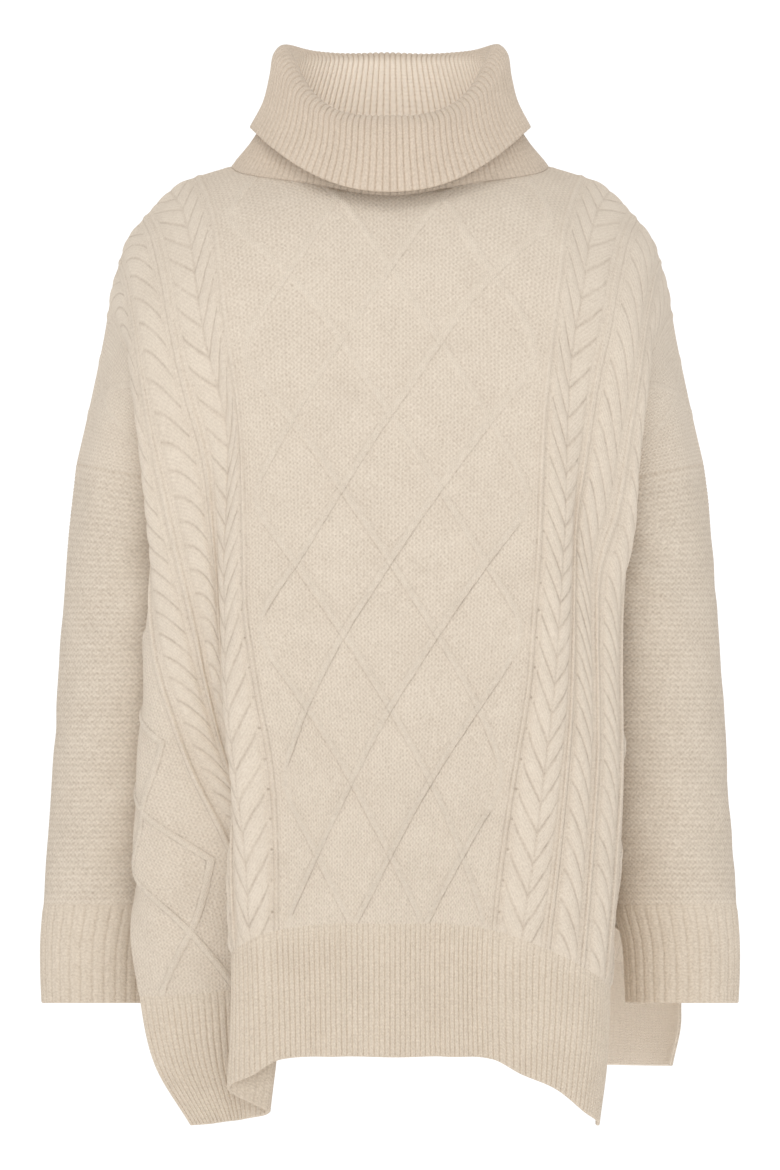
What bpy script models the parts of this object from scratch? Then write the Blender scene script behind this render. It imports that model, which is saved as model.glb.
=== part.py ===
"""Turtleneck sweater in cable knit, worn shape with no wearer. Metres, +Z up, front faces -Y."""
import math

import bmesh
import bpy
import numpy as np
from mathutils import Vector
from mathutils.geometry import delaunay_2d_cdt

# ---- driving sizes (millimetres until a mesh is made) -------------------------------------------
MM = 0.001
WALL = 3.0                 # thickness of the knitted cloth
SEAM_GAP = 0.3             # space between two pieces at a seam
HALF_WIDTH = 338.0         # half the flat width of front and back panel
ARMHOLE = 180.0            # flat depth of the armhole
PANEL_END = 667.0          # flat length from shoulder line to the rib
HEM_END = 768.0            # flat length from shoulder line to the hem
SLIT_TOP = 572.0           # the side seam ends here
NECK_HALF = 96.0           # half the flat width of the neck opening
NECK_FRONT = 88.0          # its flat depth in front
NECK_BACK = 62.0           # its flat depth at the back
VIEW_DISTANCE = 3500.0     # the widths in the tables are as seen from here
VIEW_HEIGHT = -314.0
LATTICE_HALF = 114.0       # half width of the middle lattice
LATTICE_ROW = 58.0         # rows between two crossings
LATTICE_START = 206.0
RIDGE_HALF = 4.2           # half width of a raised line
RIDGE_RISE = 3.6
CABLE_PITCH = 23.5         # length of one turn of a cable
BRAID = (124.0, 158.0)     # inner and outer edge of the V braid
ROPES = ((170.0, 192.0), (205.0, 227.0))
RIB_LINES = (118.5, 164.0, 198.5, 234.0)
SIDE_LATTICE = (282.0, 34.0)
CABLE_RISE = 4.0
COLLAR_RIBS = 48           # broad ribs, each for two or three of the real ones
HEM_RIBS = 48
CUFF_RIBS = 24
RIB_RISE = 1.6
PANEL_ROWS = (30.0, 60.0, 90.0, 120.0, 150.0, 180.0, 215.0, 255.0, 300.0, 350.0, 405.0, 465.0,
              530.0, 600.0)

STATIONS = (0.0, 60.0, 118.0, 141.0, 181.0, 216.0, 250.0, 280.0, 310.0, 338.0)
# Shoulder and upper arm: each row is one flat distance from the shoulder line, and holds
# (x, y, z) at each station; x and z as seen from the front.
YOKE = {
    0.0: ((0, 0, 30), (80, 14, 20), (148, 10, 3), (170, 8, -9), (202, 4, -45), (214.5, 3, -83),
          (222, 3, -124), (229, 3, -158), (236, 3, -190), (243, 3, -220)),
    45.0: ((0, -50, 16), (72, -36, 12), (142, -35, -11), (161, -34, -23), (197, -37, -60),
           (209, -37, -98), (211, -40, -138), (217, -39, -168), (222, -37, -195), (227.5, -36, -223)),
    90.0: ((0, -90, -14), (65, -84, -15), (135, -77, -35), (154, -72, -50), (190, -70, -92),
           (203.5, -66, -128), (198, -66, -162), (191.5, -59, -183), (189, -54, -206), (190, -52, -230)),
    135.0: ((0, -113, -55), (62, -111, -58), (131, -103, -70), (149, -97, -87), (183, -91, -131),
            (198, -82, -170), (186, -69, -196), (166, -51, -205), (156, -40, -218), (152.5, -36, -237)),
    180.0: ((0, -124, -98), (61, -122, -101), (126, -117, -114), (142, -111, -130), (173, -101, -177),
            (192, -85, -219), (174, -66, -240), (149, -42, -240), (137, -17, -238), (137, 3, -241)),
}
# Lower rows: height at the middle, then for each station its drop below the middle.
HEIGHTS = {240.0: -157.0, 300.0: -216.0, 360.0: -275.0, 420.0: -334.0, 480.0: -393.0,
           540.0: -452.0, 600.0: -511.0, 667.0: -577.0, 720.0: -630.0, 768.0: -678.0}
DROPS = {240.0: (0, 3, 15, 33, 76, 115, 141, 143, 143, 143),
         300.0: (0, 3, 14, 28, 66, 102, 124, 128, 128, 128),
         360.0: (0, 2, 8, 20, 55, 88, 106, 112, 112, 112),
         420.0: (0, 0, 1, 12, 44, 74, 90, 98, 98, 98),
         480.0: (0, 0, 0, 8, 34, 60, 76, 84, 84, 84),
         540.0: (0, 0, 2, 8, 28, 50, 64, 72, 74, 74),
         600.0: (0, 0, 2, 8, 26, 44, 56, 62, 64, 64),
         667.0: (0, 0, 5, 12, 26, 40, 50, 54, 56, 56),
         720.0: (0, 0, 4, 14, 26, 42, 50, 54, 56, 56),
         768.0: (2, 2, 4, 15, 27, 44, 50, 52, 54, 55)}
# Lower rows of the front, right and left: (x, y) at each station from the lattice edge outward.
FRONT_RIGHT = {
    240.0: ((120, -128), (138, -121), (162, -106), (187, -85), (172, -64), (148, -44), (131, -18), (126, 8)),
    300.0: ((117, -131), (136, -122), (150, -110), (174, -95), (178, -70), (157, -52), (138, -25), (127, 4)),
    360.0: ((115, -133), (133, -126), (149, -112), (171, -98), (180, -74), (161, -56), (142, -29), (130, 0)),
    420.0: ((111.5, -134), (130, -129), (150, -115), (171, -101), (181, -78), (164, -58), (146, -31), (134, -1)),
    480.0: ((107, -135), (126, -131), (150, -119), (171, -105), (181, -81), (167, -58), (152, -31), (142, -2)),
    540.0: ((97, -136), (119, -133), (147, -123), (168, -109), (179, -84), (171, -58), (161, -30), (153, -3)),
    600.0: ((88, -137), (112, -135), (142, -127), (165, -112), (175, -86), (172, -58), (168, -30), (165, -2)),
    667.0: ((80, -138), (102, -137), (136, -131), (160, -117), (170, -91), (170, -63), (168, -35), (166, -8)),
    720.0: ((79, -138), (101, -138), (133, -133), (157, -120), (167, -95), (168, -67), (167, -39), (166, -12)),
    768.0: ((80, -138), (101, -138), (129, -134), (151, -123), (160, -99), (162, -72), (162, -45), (162, -19)),
}
FRONT_LEFT = {
    240.0: ((118, -128), (127, -117), (158, -103), (185, -86), (176, -63), (150, -44), (132, -18), (126, 8)),
    300.0: ((114.5, -131), (125, -117), (149, -105), (176, -93), (188, -70), (165, -53), (142, -27), (127, 3)),
    360.0: ((112.5, -133), (127, -117), (140, -105), (166, -98), (191, -80), (182, -54), (156, -37), (138, -12)),
    420.0: ((111.5, -134), (126, -122), (134, -104), (153, -99), (182, -93), (195, -68), (177, -46), (156, -24)),
    480.0: ((103, -135), (125, -128), (126, -106), (137, -96), (167, -95), (194, -82), (194, -55), (172, -36)),
    540.0: ((92, -136), (119, -133), (118, -115), (112, -103), (146, -94), (177, -91), (199, -76), (190, -52)),
    600.0: ((88, -137), (112, -136), (123, -119), (92, -108), (124, -94), (155, -93), (184, -88), (202, -68)),
    667.0: ((87.5, -138), (108, -138), (122, -120), (88, -110), (119, -95), (148, -95), (174, -91), (195, -78)),
    720.0: ((86, -138), (106, -138), (123, -120), (90, -110), (117, -95), (142, -95), (164, -92), (183, -84)),
    768.0: ((85, -138), (105, -138), (126, -119), (96, -110), (113, -95), (127, -95), (141, -94), (155, -89)),
}
# Back: how deep it is beside the front, how much higher its middle is, and where its sides run:
# (x, y) at the last four stations.
BACK_DEPTH = {0.0: 1.0, 45.0: 1.0, 90.0: 1.0, 135.0: 1.0, 180.0: 0.95, 240.0: 0.84}
BACK_LIFT = {0.0: 0.0, 45.0: 11.0, 90.0: 26.0, 135.0: 27.0, 180.0: 23.0, 240.0: 20.0, 300.0: 15.0,
             360.0: 10.0, 420.0: 5.0, 480.0: 0.0}
BACK_DROP = {240.0: 1.0, 420.0: 1.0, 540.0: 1.0, 600.0: 0.85, 667.0: 0.55, 720.0: 0.33, 768.0: 0.16}
BACK_SIDE_RIGHT = {
    600.0: ((178, 78), (176, 52), (166, 26), (160, 2)),
    667.0: ((178, 100), (194, 88), (208, 73), (218, 58)),
    720.0: ((186, 103), (204, 92), (218, 76), (226, 58)),
    768.0: ((184, 104), (202, 95), (214, 80), (219, 62)),
}
BACK_SIDE_LEFT = {
    360.0: ((158, 56), (140, 32), (130, 8), (138, -12)),
    420.0: ((150, 46), (134, 22), (138, -4), (156, -24)),
    480.0: ((146, 32), (138, 4), (150, -20), (172, -36)),
    540.0: ((144, 14), (148, -18), (168, -40), (190, -52)),
    600.0: ((144, 12), (148, -18), (168, -40), (190, -50)),
    667.0: ((156, 42), (145, 14), (150, -14), (164, -38)),
    720.0: ((164, 50), (150, 24), (150, -4), (158, -30)),
    768.0: ((166, 58), (154, 32), (152, 4), (156, -22)),
}
# Soft upright flutes near the hem: middle, half width and depth of each, and where it starts.
FLUTES_FRONT = ((52.0, 15.0, 4.0, 430.0), (100.0, 14.0, 3.5, 600.0), (-40.0, 18.0, 3.0, 520.0),
                (-78.0, 13.0, 3.0, 560.0), (8.0, 20.0, -2.5, 520.0))
FLUTES_BACK = ((-70.0, 22.0, 5.0, 380.0), (35.0, 20.0, 5.0, 420.0), (90.0, 18.0, 4.0, 520.0),
               (-15.0, 20.0, -3.0, 500.0))
# Sleeve: height of each ring, inner and outer side as seen, front and back.
SLEEVE_RINGS = {-222.0: (137, 243, -52, 58), -250.0: (139, 246.5, -52, 58), -285.0: (142, 249.5, -50, 56),
                -330.0: (145, 253, -51, 55), -380.0: (148, 256.5, -48, 53), -430.0: (152, 260, -47, 51),
                -480.0: (157, 263, -43, 48), -525.0: (164, 266, -40, 44), -562.0: (172, 268.5, -35, 39)}
CUFF_RINGS = {-562.0: (172.5, 268.5, -35, 39), -590.0: (180, 270.5, -32, 36), -615.0: (182, 270.5, -31, 34),
              -638.0: (183, 269.5, -30, 33)}
# Collar: half width, front and back reach, heights at the side, in front and at the back.
COLLAR_ROWS = ((121, -88, 72, 12, -12, 24), (112, -86, 74, 32, 4, 46), (97, -84, 76, 60, 20, 74),
               (86, -83, 78, 84, 31, 94), (84, -87, 80, 97, 38, 103), (90, -97, 86, 104, 40, 105),
               (98, -108, 94, 98, 33, 99), (104, -117, 100, 82, 22, 86), (108, -123, 104, 62, 8, 60),
               (109, -126, 106, 42, -6, 38))
CLOTH_COLOUR = (0.74, 0.66, 0.56)
RIB_COLOUR = (0.70, 0.61, 0.51)


# ---- smooth interpolation ------------------------------------------------------------------------
def slope_matrix(knots):
    """Slopes at the knots as weights of the values there."""
    count = len(knots)
    slopes = np.zeros((count, count))
    for i in range(count):
        low, high = max(i - 1, 0), min(i + 1, count - 1)
        span = knots[high] - knots[low]
        slopes[i, high] += 1.0 / span
        slopes[i, low] -= 1.0 / span
    return slopes


def weights(knots, where):
    """Cubic weights of the knots' values at each place."""
    knots = np.asarray(knots, float)
    where = np.clip(np.asarray(where, float), knots[0], knots[-1])
    slopes = slope_matrix(knots)
    cell = np.clip(np.searchsorted(knots, where, side="right") - 1, 0, len(knots) - 2)
    span = knots[cell + 1] - knots[cell]
    u = (where - knots[cell]) / span
    rows = np.arange(len(where))
    out = np.zeros((len(where), len(knots)))
    out[rows, cell] += 2 * u**3 - 3 * u**2 + 1
    out[rows, cell + 1] += 3 * u**2 - 2 * u**3
    out += ((u**3 - 2 * u**2 + u) * span)[:, None] * slopes[cell]
    out += ((u**3 - u**2) * span)[:, None] * slopes[cell + 1]
    return out


def smooth(table, where):
    """Rows of a table {place: values} read between its places."""
    keys = sorted(table)
    values = np.array([table[key] for key in keys], float)
    return weights(keys, where) @ values


def step(low, high, value):
    """Soft step from 0 at low to 1 at high."""
    u = np.clip((value - low) / (high - low), 0.0, 1.0)
    return u * u * (3 - 2 * u)


# ---- the panels' net -----------------------------------------------------------------------------
ROWS = sorted(YOKE) + sorted(HEIGHTS)
COLUMNS = [-s for s in reversed(STATIONS[1:])] + list(STATIONS)


def unseen(points):
    """Turn widths and heights as seen from the front into true ones."""
    points = np.array(points, float)
    scale = (VIEW_DISTANCE + points[..., 1]) / VIEW_DISTANCE
    points[..., 0] *= scale
    points[..., 2] = VIEW_HEIGHT + (points[..., 2] - VIEW_HEIGHT) * scale
    return points


def lower_row(t, table):
    """One lower row from the middle to the seam: (x, y, z) at each station."""
    edge = table[t]
    depth = edge[0][1]
    flat = [(0.0, depth - 2.0), (edge[0][0] * 0.52, depth - 2.0)] + list(edge)
    return [(x, y, HEIGHTS[t] - drop) for (x, y), drop in zip(flat, DROPS[t])]


def front_net():
    net = []
    for t in ROWS:
        right = YOKE[t] if t in YOKE else lower_row(t, FRONT_RIGHT)
        left = YOKE[t] if t in YOKE else lower_row(t, FRONT_LEFT)
        row = [(-x, y, z) for x, y, z in reversed(left[1:])] + [tuple(p) for p in right]
        net.append(row)
    return unseen(net)


def behind(t, front, side):
    """The back row for a front row, mirrored about the shoulder line or the side seam."""
    deep = float(smooth({k: (v,) for k, v in BACK_DEPTH.items()}, [t])[0, 0])
    lift = float(smooth({k: (v,) for k, v in BACK_LIFT.items()}, [t])[0, 0])
    row = []
    for i, (x, y, z) in enumerate(front):
        turn = YOKE[0.0][i][1] if t in YOKE else front[-1][1] * (0.25 + 0.75 * i / 9.0)
        turn = turn if t in YOKE else min(turn, 8.0)
        depth = turn + deep * (turn - y)
        if t not in YOKE and i < 6:
            depth = 8.0 + deep * (8.0 - FRONT_RIGHT[t][max(i - 2, 0)][1])
        rise = lift * max(0.0, 1.0 - STATIONS[i] / 200.0)
        if t in HEIGHTS:
            keep = float(smooth({k: (v,) for k, v in BACK_DROP.items()}, [t])[0, 0])
            rise += (HEIGHTS[t] - z) * (1.0 - keep)
        row.append((x, depth, z + rise))
    if t in side:
        row[6:] = [(x, y, z) for (x, y), (_, _, z) in zip(side[t], row[6:])]
    return row


def back_net():
    net = []
    for t in ROWS:
        front = list(YOKE[t]) if t in YOKE else lower_row(t, FRONT_RIGHT)
        right = behind(t, front, BACK_SIDE_RIGHT)
        left = behind(t, front, BACK_SIDE_LEFT)
        net.append([(-x, y, z) for x, y, z in reversed(left[1:])] + right)
    return unseen(net)


class Panel:
    """A front or back panel: a place in space for each flat place (s across, t down)."""

    def __init__(self, net, seams, flutes, side, neck):
        self.net = net
        self.seams = seams
        self.flutes = flutes
        self.side = side
        self.neck = neck

    def raw(self, s, t):
        across = weights(COLUMNS, s)
        down = weights(ROWS, t)
        points = np.einsum("nr,nc,rck->nk", down, across, self.net)
        points += self.to_seam(s, t)
        for middle, half, depth, start in self.flutes:
            pull = np.exp(-(((s - middle) / half) ** 2)) * step(start, HEM_END, t) * depth
            points[:, 1] -= pull * self.side
        return points

    def to_seam(self, s, t):
        """Shift that brings the side of the panel to the seam that both panels share."""
        first = ROWS.index(ARMHOLE)
        near = step(285.0, HALF_WIDTH, np.abs(s)) * (t > ARMHOLE) * (1.0 - step(560.0, 600.0, t))
        down = weights(ROWS, t)
        shared = weights(ROWS[first:], np.maximum(t, ARMHOLE))
        shift = np.zeros((len(s), 3))
        for column in (0, -1):
            own = down @ self.net[:, column]
            seam = shared @ self.seams[first:, column]
            side = (s < 0.0) if column == 0 else (s > 0.0)
            shift += (seam - own) * (near * side)[:, None]
        return shift

    def normal(self, s, t):
        d = 1.5
        along = self.raw(s + d, t) - self.raw(s - d, t)
        down = self.raw(s, t + d) - self.raw(s, t - d)
        n = np.cross(down, along) * (1.0 if self.side < 0 else -1.0)
        n = n / np.linalg.norm(n, axis=1)[:, None]
        return self.seam_normal(s, t, n)

    def seam_normal(self, s, t, n):
        """Both pieces at a seam stand square to it."""
        below = step(ARMHOLE, ARMHOLE + 30.0, t)
        side = np.stack([np.sign(s) * below, np.zeros_like(s), below - 1.0], axis=1)
        near_side = step(HALF_WIDTH - 16.0, HALF_WIDTH, np.abs(s)) * step(ARMHOLE - 60.0, ARMHOLE, t)
        near_side = near_side * (1.0 - step(SLIT_TOP + 5.0, SLIT_TOP + 50.0, t))
        n = n * (1 - near_side[:, None]) + side * near_side[:, None]
        ridge = n * np.array([1.0, 0.0, 1.0])
        near_top = 1.0 - step(0.0, 16.0, t)
        n = n * (1 - near_top[:, None]) + ridge * near_top[:, None]
        around = self.raw(s, t) * np.array([1.0, 1.0, 0.0]) - np.array([0.0, 12.0, 0.0])
        around = around / np.linalg.norm(around, axis=1)[:, None]
        near_neck = 1.0 - step(0.0, 14.0, neck_distance(s, t, self.neck))
        n = n / np.linalg.norm(n, axis=1)[:, None]
        n = n + around * near_neck[:, None]
        return n / np.linalg.norm(n, axis=1)[:, None]

    def place(self, s, t, lift):
        s, t = np.asarray(s, float), np.asarray(t, float)
        return self.raw(s, t) + self.normal(s, t) * np.asarray(lift, float)[:, None]


# ---- raised pattern ------------------------------------------------------------------------------
def zigzag(phase):
    """Triangle wave: 1 at whole numbers, -1 half way."""
    return 4.0 * np.abs(phase - np.floor(phase) - 0.5) - 1.0


def strand_place(number, t):
    """Where a strand of the middle lattice runs at each row."""
    period = 12.0 * LATTICE_ROW
    wave = zigzag((t - LATTICE_START + 2.0 * LATTICE_ROW * number) / period)
    return (LATTICE_HALF - 2.0) * wave


def side_strand_place(number, t):
    """Where a strand of a side lattice runs at each row."""
    middle, half = SIDE_LATTICE
    return middle + half * zigzag((t - LATTICE_START) / (4.0 * LATTICE_ROW) + 0.5 * number)


def tent(distance, half):
    return np.clip(1.0 - np.abs(distance) / half, 0.0, 1.0)


def relief(s, t, neck):
    """Height of the raised pattern, in millimetres."""
    a = np.abs(s)
    slant = RIDGE_HALF * 1.2
    high = np.zeros_like(a)
    for number in range(6):
        near = tent(s - strand_place(number, t), slant) * (a < LATTICE_HALF + 1.0)
        high = np.maximum(high, near * RIDGE_RISE)
    for number in range(2):
        high = np.maximum(high, tent(a - side_strand_place(number, t), slant) * RIDGE_RISE)
    for line in RIB_LINES:
        high = np.maximum(high, tent(a - line, 3.5) * RIDGE_RISE * 0.7)
    high = np.maximum(high, braid_height(a, t))
    for inner, outer in ROPES:
        high = np.maximum(high, rope_height(s, inner, outer, t))
    return high * step(0.0, 8.0, neck)


def braid_height(a, t):
    inner, outer = BRAID
    middle, half = (inner + outer) / 2.0, (outer - inner) / 2.0
    u = np.abs(a - middle) / half
    phase = t / CABLE_PITCH + 0.55 * u
    lobe = 1.0 - np.abs(2.0 * (phase - np.floor(phase)) - 1.0)
    return np.where(u < 1.0, CABLE_RISE * (0.25 + 0.75 * lobe) * np.clip((1.02 - u) * 6.0, 0, 1), 0.0)


def rope_height(s, inner, outer, t):
    a = np.abs(s)
    middle, half = (inner + outer) / 2.0, (outer - inner) / 2.0
    u = (a - middle) / half * np.sign(s)
    phase = t / CABLE_PITCH - 0.3 * u
    lobe = 1.0 - np.abs(2.0 * (phase - np.floor(phase)) - 1.0)
    inside = np.abs(u) < 1.0
    return np.where(inside, CABLE_RISE * (0.25 + 0.75 * lobe) * np.clip((1.02 - np.abs(u)) * 6.0, 0, 1), 0.0)


# ---- flat layout of a panel ----------------------------------------------------------------------
class Layout:
    """Points and lines on the flat cloth, for a triangle mesh that follows them."""

    def __init__(self, outline):
        self.points = []
        self.lines = []
        self.outline = outline
        self.line(outline + [outline[0]])

    def line(self, places):
        first = len(self.points)
        self.points.extend(places)
        self.lines.extend((i, i + 1) for i in range(first, len(self.points) - 1))

    def dots(self, places):
        self.points.extend(places)

    def mesh(self):
        verts = [Vector((float(x), float(y))) for x, y in self.points]
        result = delaunay_2d_cdt(verts, self.lines, [], 1, 1e-4)
        places = np.array([(v.x, v.y) for v in result[0]])
        return places, [tuple(face) for face in result[2]]


def neck_line(depth):
    """The neck edge from right to left, as flat places."""
    out = []
    for i in range(COLLAR_RIBS // 2 + 1):
        angle = math.pi * i / (COLLAR_RIBS // 2)
        out.append((NECK_HALF * math.cos(angle), depth * max(math.sin(angle), 0.0) ** 0.8))
    return out


def neck_distance(s, t, depth):
    """How far each place lies from the neck edge, roughly."""
    reach = np.clip(1.0 - (s / NECK_HALF) ** 2, 0.0, 1.0) ** 0.4 * depth
    sideways = np.maximum(np.abs(s) - NECK_HALF, 0.0)
    return np.where(np.abs(s) < NECK_HALF, t - reach, np.hypot(sideways, t))


def outline(depth):
    """The cut of a panel: neck, shoulders, armholes, sides and lower edge."""
    gap = SEAM_GAP / 2.0
    right, end = HALF_WIDTH - gap, PANEL_END - gap
    neck = neck_line(depth)
    neck = [(x, max(y, gap)) for x, y in neck]
    shoulder = [(s, gap) for s in (118.0, 141.0, 181.0, 205.0, 228.0, 250.0, 280.0, 310.0, right)]
    arm = [(right, t) for t in np.linspace(0.0, ARMHOLE, CUFF_RIBS // 2 + 1)[1:]]
    side = [(right, t) for t in list(PANEL_ROWS[6:]) + [635.0, end]]
    lower = [(s, end) for s in np.linspace(right, -right, HEM_RIBS + 1)[1:]]
    back_up = [(-s, t) for s, t in reversed(arm + side[:-1])]
    back_top = [(-s, t) for s, t in reversed(shoulder)]
    return list(reversed(neck)) + shoulder + arm + side + lower + back_up + back_top


def inside_neck(s, t, depth, margin):
    return float(neck_distance(np.array([s]), np.array([t]), depth)[0]) < margin


def strand_rows(low, high, spacing):
    """Rows of a strand's points: its turnings and crossings are among them."""
    first = LATTICE_START - 8.0 * LATTICE_ROW
    rows = [first + spacing * i for i in range(60)]
    return [low] + [t for t in rows if low + 6.0 < t < high - 6.0] + [high]


def lattice_rows(low, high):
    """Closer rows over the shoulder, where the cloth bends most."""
    close = strand_rows(low, high, LATTICE_ROW / 2.0)
    wide = strand_rows(low, high, LATTICE_ROW)
    return sorted(set([t for t in close if t < 240.0] + wide + [100.0]))


def add_strand(layout, place, sign, rows, depth):
    """Crest and both feet of one raised line of a lattice."""
    slant = RIDGE_HALF * 1.2
    for shift in (-slant, 0.0, slant):
        run = []
        for t in rows:
            s = sign * (float(place(np.array([t]))[0]) + shift)
            if not inside_neck(s, t, depth, 9.0):
                run.append((s, t))
        if len(run) > 1:
            layout.line(run)


def pattern_layout(depth):
    layout = Layout(outline(depth))
    low, high = 7.0, PANEL_END - 5.0
    for number in range(6):
        add_strand(layout, lambda t, n=number: strand_place(n, t), 1.0,
                   lattice_rows(low, high), depth)
    rows = [low] + list(PANEL_ROWS) + [high]
    for sign in (1.0, -1.0):
        for number in range(2):
            add_strand(layout, lambda t, n=number: side_strand_place(n, t), sign,
                       strand_rows(low, high, LATTICE_ROW / 2.0), depth)
        for line in (*RIB_LINES, *BRAID, *ROPES[0], *ROPES[1]):
            run = [(sign * line, t) for t in rows]
            layout.line([p for p in run if not inside_neck(p[0], p[1], depth, 6.0)])
        add_cables(layout, sign, low, high)
    return layout


def add_cables(layout, sign, low, high):
    """Crest and groove of every turn of the braid and of the two ropes."""
    runs = []
    middle, half = (BRAID[0] + BRAID[1]) / 2.0, (BRAID[1] - BRAID[0]) / 2.0
    for number in range(2 * int(high / CABLE_PITCH) + 4):
        base = number * CABLE_PITCH / 2.0
        runs.append([(sign * (middle + u * half), base - 0.55 * abs(u) * CABLE_PITCH)
                     for u in (0.84, 0.0, -0.84)])
        for inner, outer in ROPES:
            centre, width = (inner + outer) / 2.0, (outer - inner) / 2.0
            runs.append([(sign * (centre + u * width), base + 0.3 * u * sign * CABLE_PITCH)
                         for u in (0.8, -0.8)])
    for run in runs:
        keep = [p for p in run if low < p[1] < high]
        if len(keep) > 1:
            layout.line(keep)


def plain_layout(depth):
    layout = Layout(outline(depth))
    across = (0.0, 50.0, 100.0, 122.0, 141.0, 153.0, 165.0, 181.0, 193.0, 205.0, 216.0, 228.0, 240.0,
              252.0, 266.0, 282.0, 300.0, 320.0)
    for t in (18.0,) + PANEL_ROWS + (640.0,):
        for s in across:
            for sign in ((1.0, -1.0) if s else (1.0,)):
                if not inside_neck(sign * s, float(t), depth, 9.0):
                    layout.dots([(sign * s, float(t))])
    return layout


# ---- closed shells -------------------------------------------------------------------------------
def shell_object(name, collection, outer, outer_faces, inner, inner_faces, rims, colour):
    """One closed wall from its outer and inner sides and the strips of its edges."""
    offset = len(outer)
    points = np.vstack([outer, inner]) * MM
    faces = [tuple(face) for face in outer_faces]
    faces += [tuple(offset + i for i in reversed(face)) for face in inner_faces]
    faces += [tuple(face) for face in rims]
    mesh = bpy.data.meshes.new(name)
    mesh.from_pydata([tuple(p) for p in points], [], faces)
    work = bmesh.new()
    work.from_mesh(mesh)
    bmesh.ops.recalc_face_normals(work, faces=work.faces)
    work.to_mesh(mesh)
    work.free()
    mesh.materials.append(cloth_material(name + "_knit", colour))
    item = bpy.data.objects.new(name, mesh)
    collection.objects.link(item)
    return item


def cloth_material(name, colour):
    material = bpy.data.materials.new(name)
    material.use_nodes = True
    shader = material.node_tree.nodes["Principled BSDF"]
    shader.inputs["Base Color"].default_value = (*colour, 1.0)
    shader.inputs["Roughness"].default_value = 0.92
    shader.inputs["Metallic"].default_value = 0.0
    material.diffuse_color = (*colour, 1.0)
    return material


def boundary_loops(faces):
    """Edges used by one face only, joined into loops."""
    seen = {}
    for face in faces:
        for i in range(len(face)):
            a, b = face[i], face[(i + 1) % len(face)]
            seen[(a, b)] = True
    after = {a: b for a, b in seen if (b, a) not in seen}
    loops = []
    while after:
        start = next(iter(after))
        loop = [start]
        nxt = after.pop(start)
        while nxt != start:
            loop.append(nxt)
            nxt = after.pop(nxt)
        loops.append(loop)
    return loops


def panel_object(name, collection, panel, depth):
    outer_flat, outer_faces = pattern_layout(depth).mesh()
    inner_flat, inner_faces = plain_layout(depth).mesh()
    s, t = outer_flat[:, 0], outer_flat[:, 1]
    loop = boundary_loops(outer_faces)[0]
    lift = relief(s, t, neck_distance(s, t, depth))
    lift[loop] = 0.0
    outer = panel.place(s, t, lift)
    inner = panel.place(inner_flat[:, 0], inner_flat[:, 1], np.full(len(inner_flat), -WALL))
    lookup = {(round(x, 2), round(y, 2)): i for i, (x, y) in enumerate(inner_flat)}
    match = [lookup[(round(outer_flat[i][0], 2), round(outer_flat[i][1], 2))] + len(outer) for i in loop]
    rims = strip(np.vstack([outer, inner]), loop + loop[:1], match + match[:1])
    return shell_object(name, collection, outer, outer_faces, inner, inner_faces, rims, CLOTH_COLOUR)


def grid_faces(rows, columns, closed):
    faces = []
    for r in range(rows - 1):
        for c in range(columns if closed else columns - 1):
            d = (c + 1) % columns
            faces.append((r * columns + c, r * columns + d, (r + 1) * columns + d, (r + 1) * columns + c))
    return faces


def strip(points, first, second):
    """Triangles between two runs of points; the first has as many cells as the second, or twice."""
    times = (len(first) - 1) // (len(second) - 1)
    faces = []
    for j in range(len(second) - 1):
        run = first[j * times:j * times + times + 1]
        low, high = second[j], second[j + 1]
        if reach(points, run[0], high) <= reach(points, run[-1], low):
            faces += [(run[i], run[i + 1], high) for i in range(times)]
            faces.append((run[0], high, low))
        else:
            faces += [(run[i], run[i + 1], low) for i in range(times)]
            faces.append((run[-1], high, low))
    return faces


def reach(points, i, j):
    return float(np.linalg.norm(points[i] - points[j]))


def tube_object(name, collection, outer, inner, colour):
    """A tube wall from grids of rings (rows, columns, xyz), open at both ends."""
    rows_o, cols_o = outer.shape[:2]
    rows_i, cols_i = inner.shape[:2]
    points = np.vstack([outer.reshape(-1, 3), inner.reshape(-1, 3)])
    rims = []
    for row_o, row_i in ((0, 0), (rows_o - 1, rows_i - 1)):
        run_o = [row_o * cols_o + c % cols_o for c in range(cols_o + 1)]
        run_i = [rows_o * cols_o + row_i * cols_i + c % cols_i for c in range(cols_i + 1)]
        rims += strip(points, run_o, run_i)
    return shell_object(name, collection, outer.reshape(-1, 3), grid_faces(rows_o, cols_o, True),
                        inner.reshape(-1, 3), grid_faces(rows_i, cols_i, True), rims, colour)


def settle(row):
    """Put every second point of a row half way between its neighbours."""
    row[1:-1:2] = (row[:-2:2] + row[2::2]) / 2.0


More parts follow.
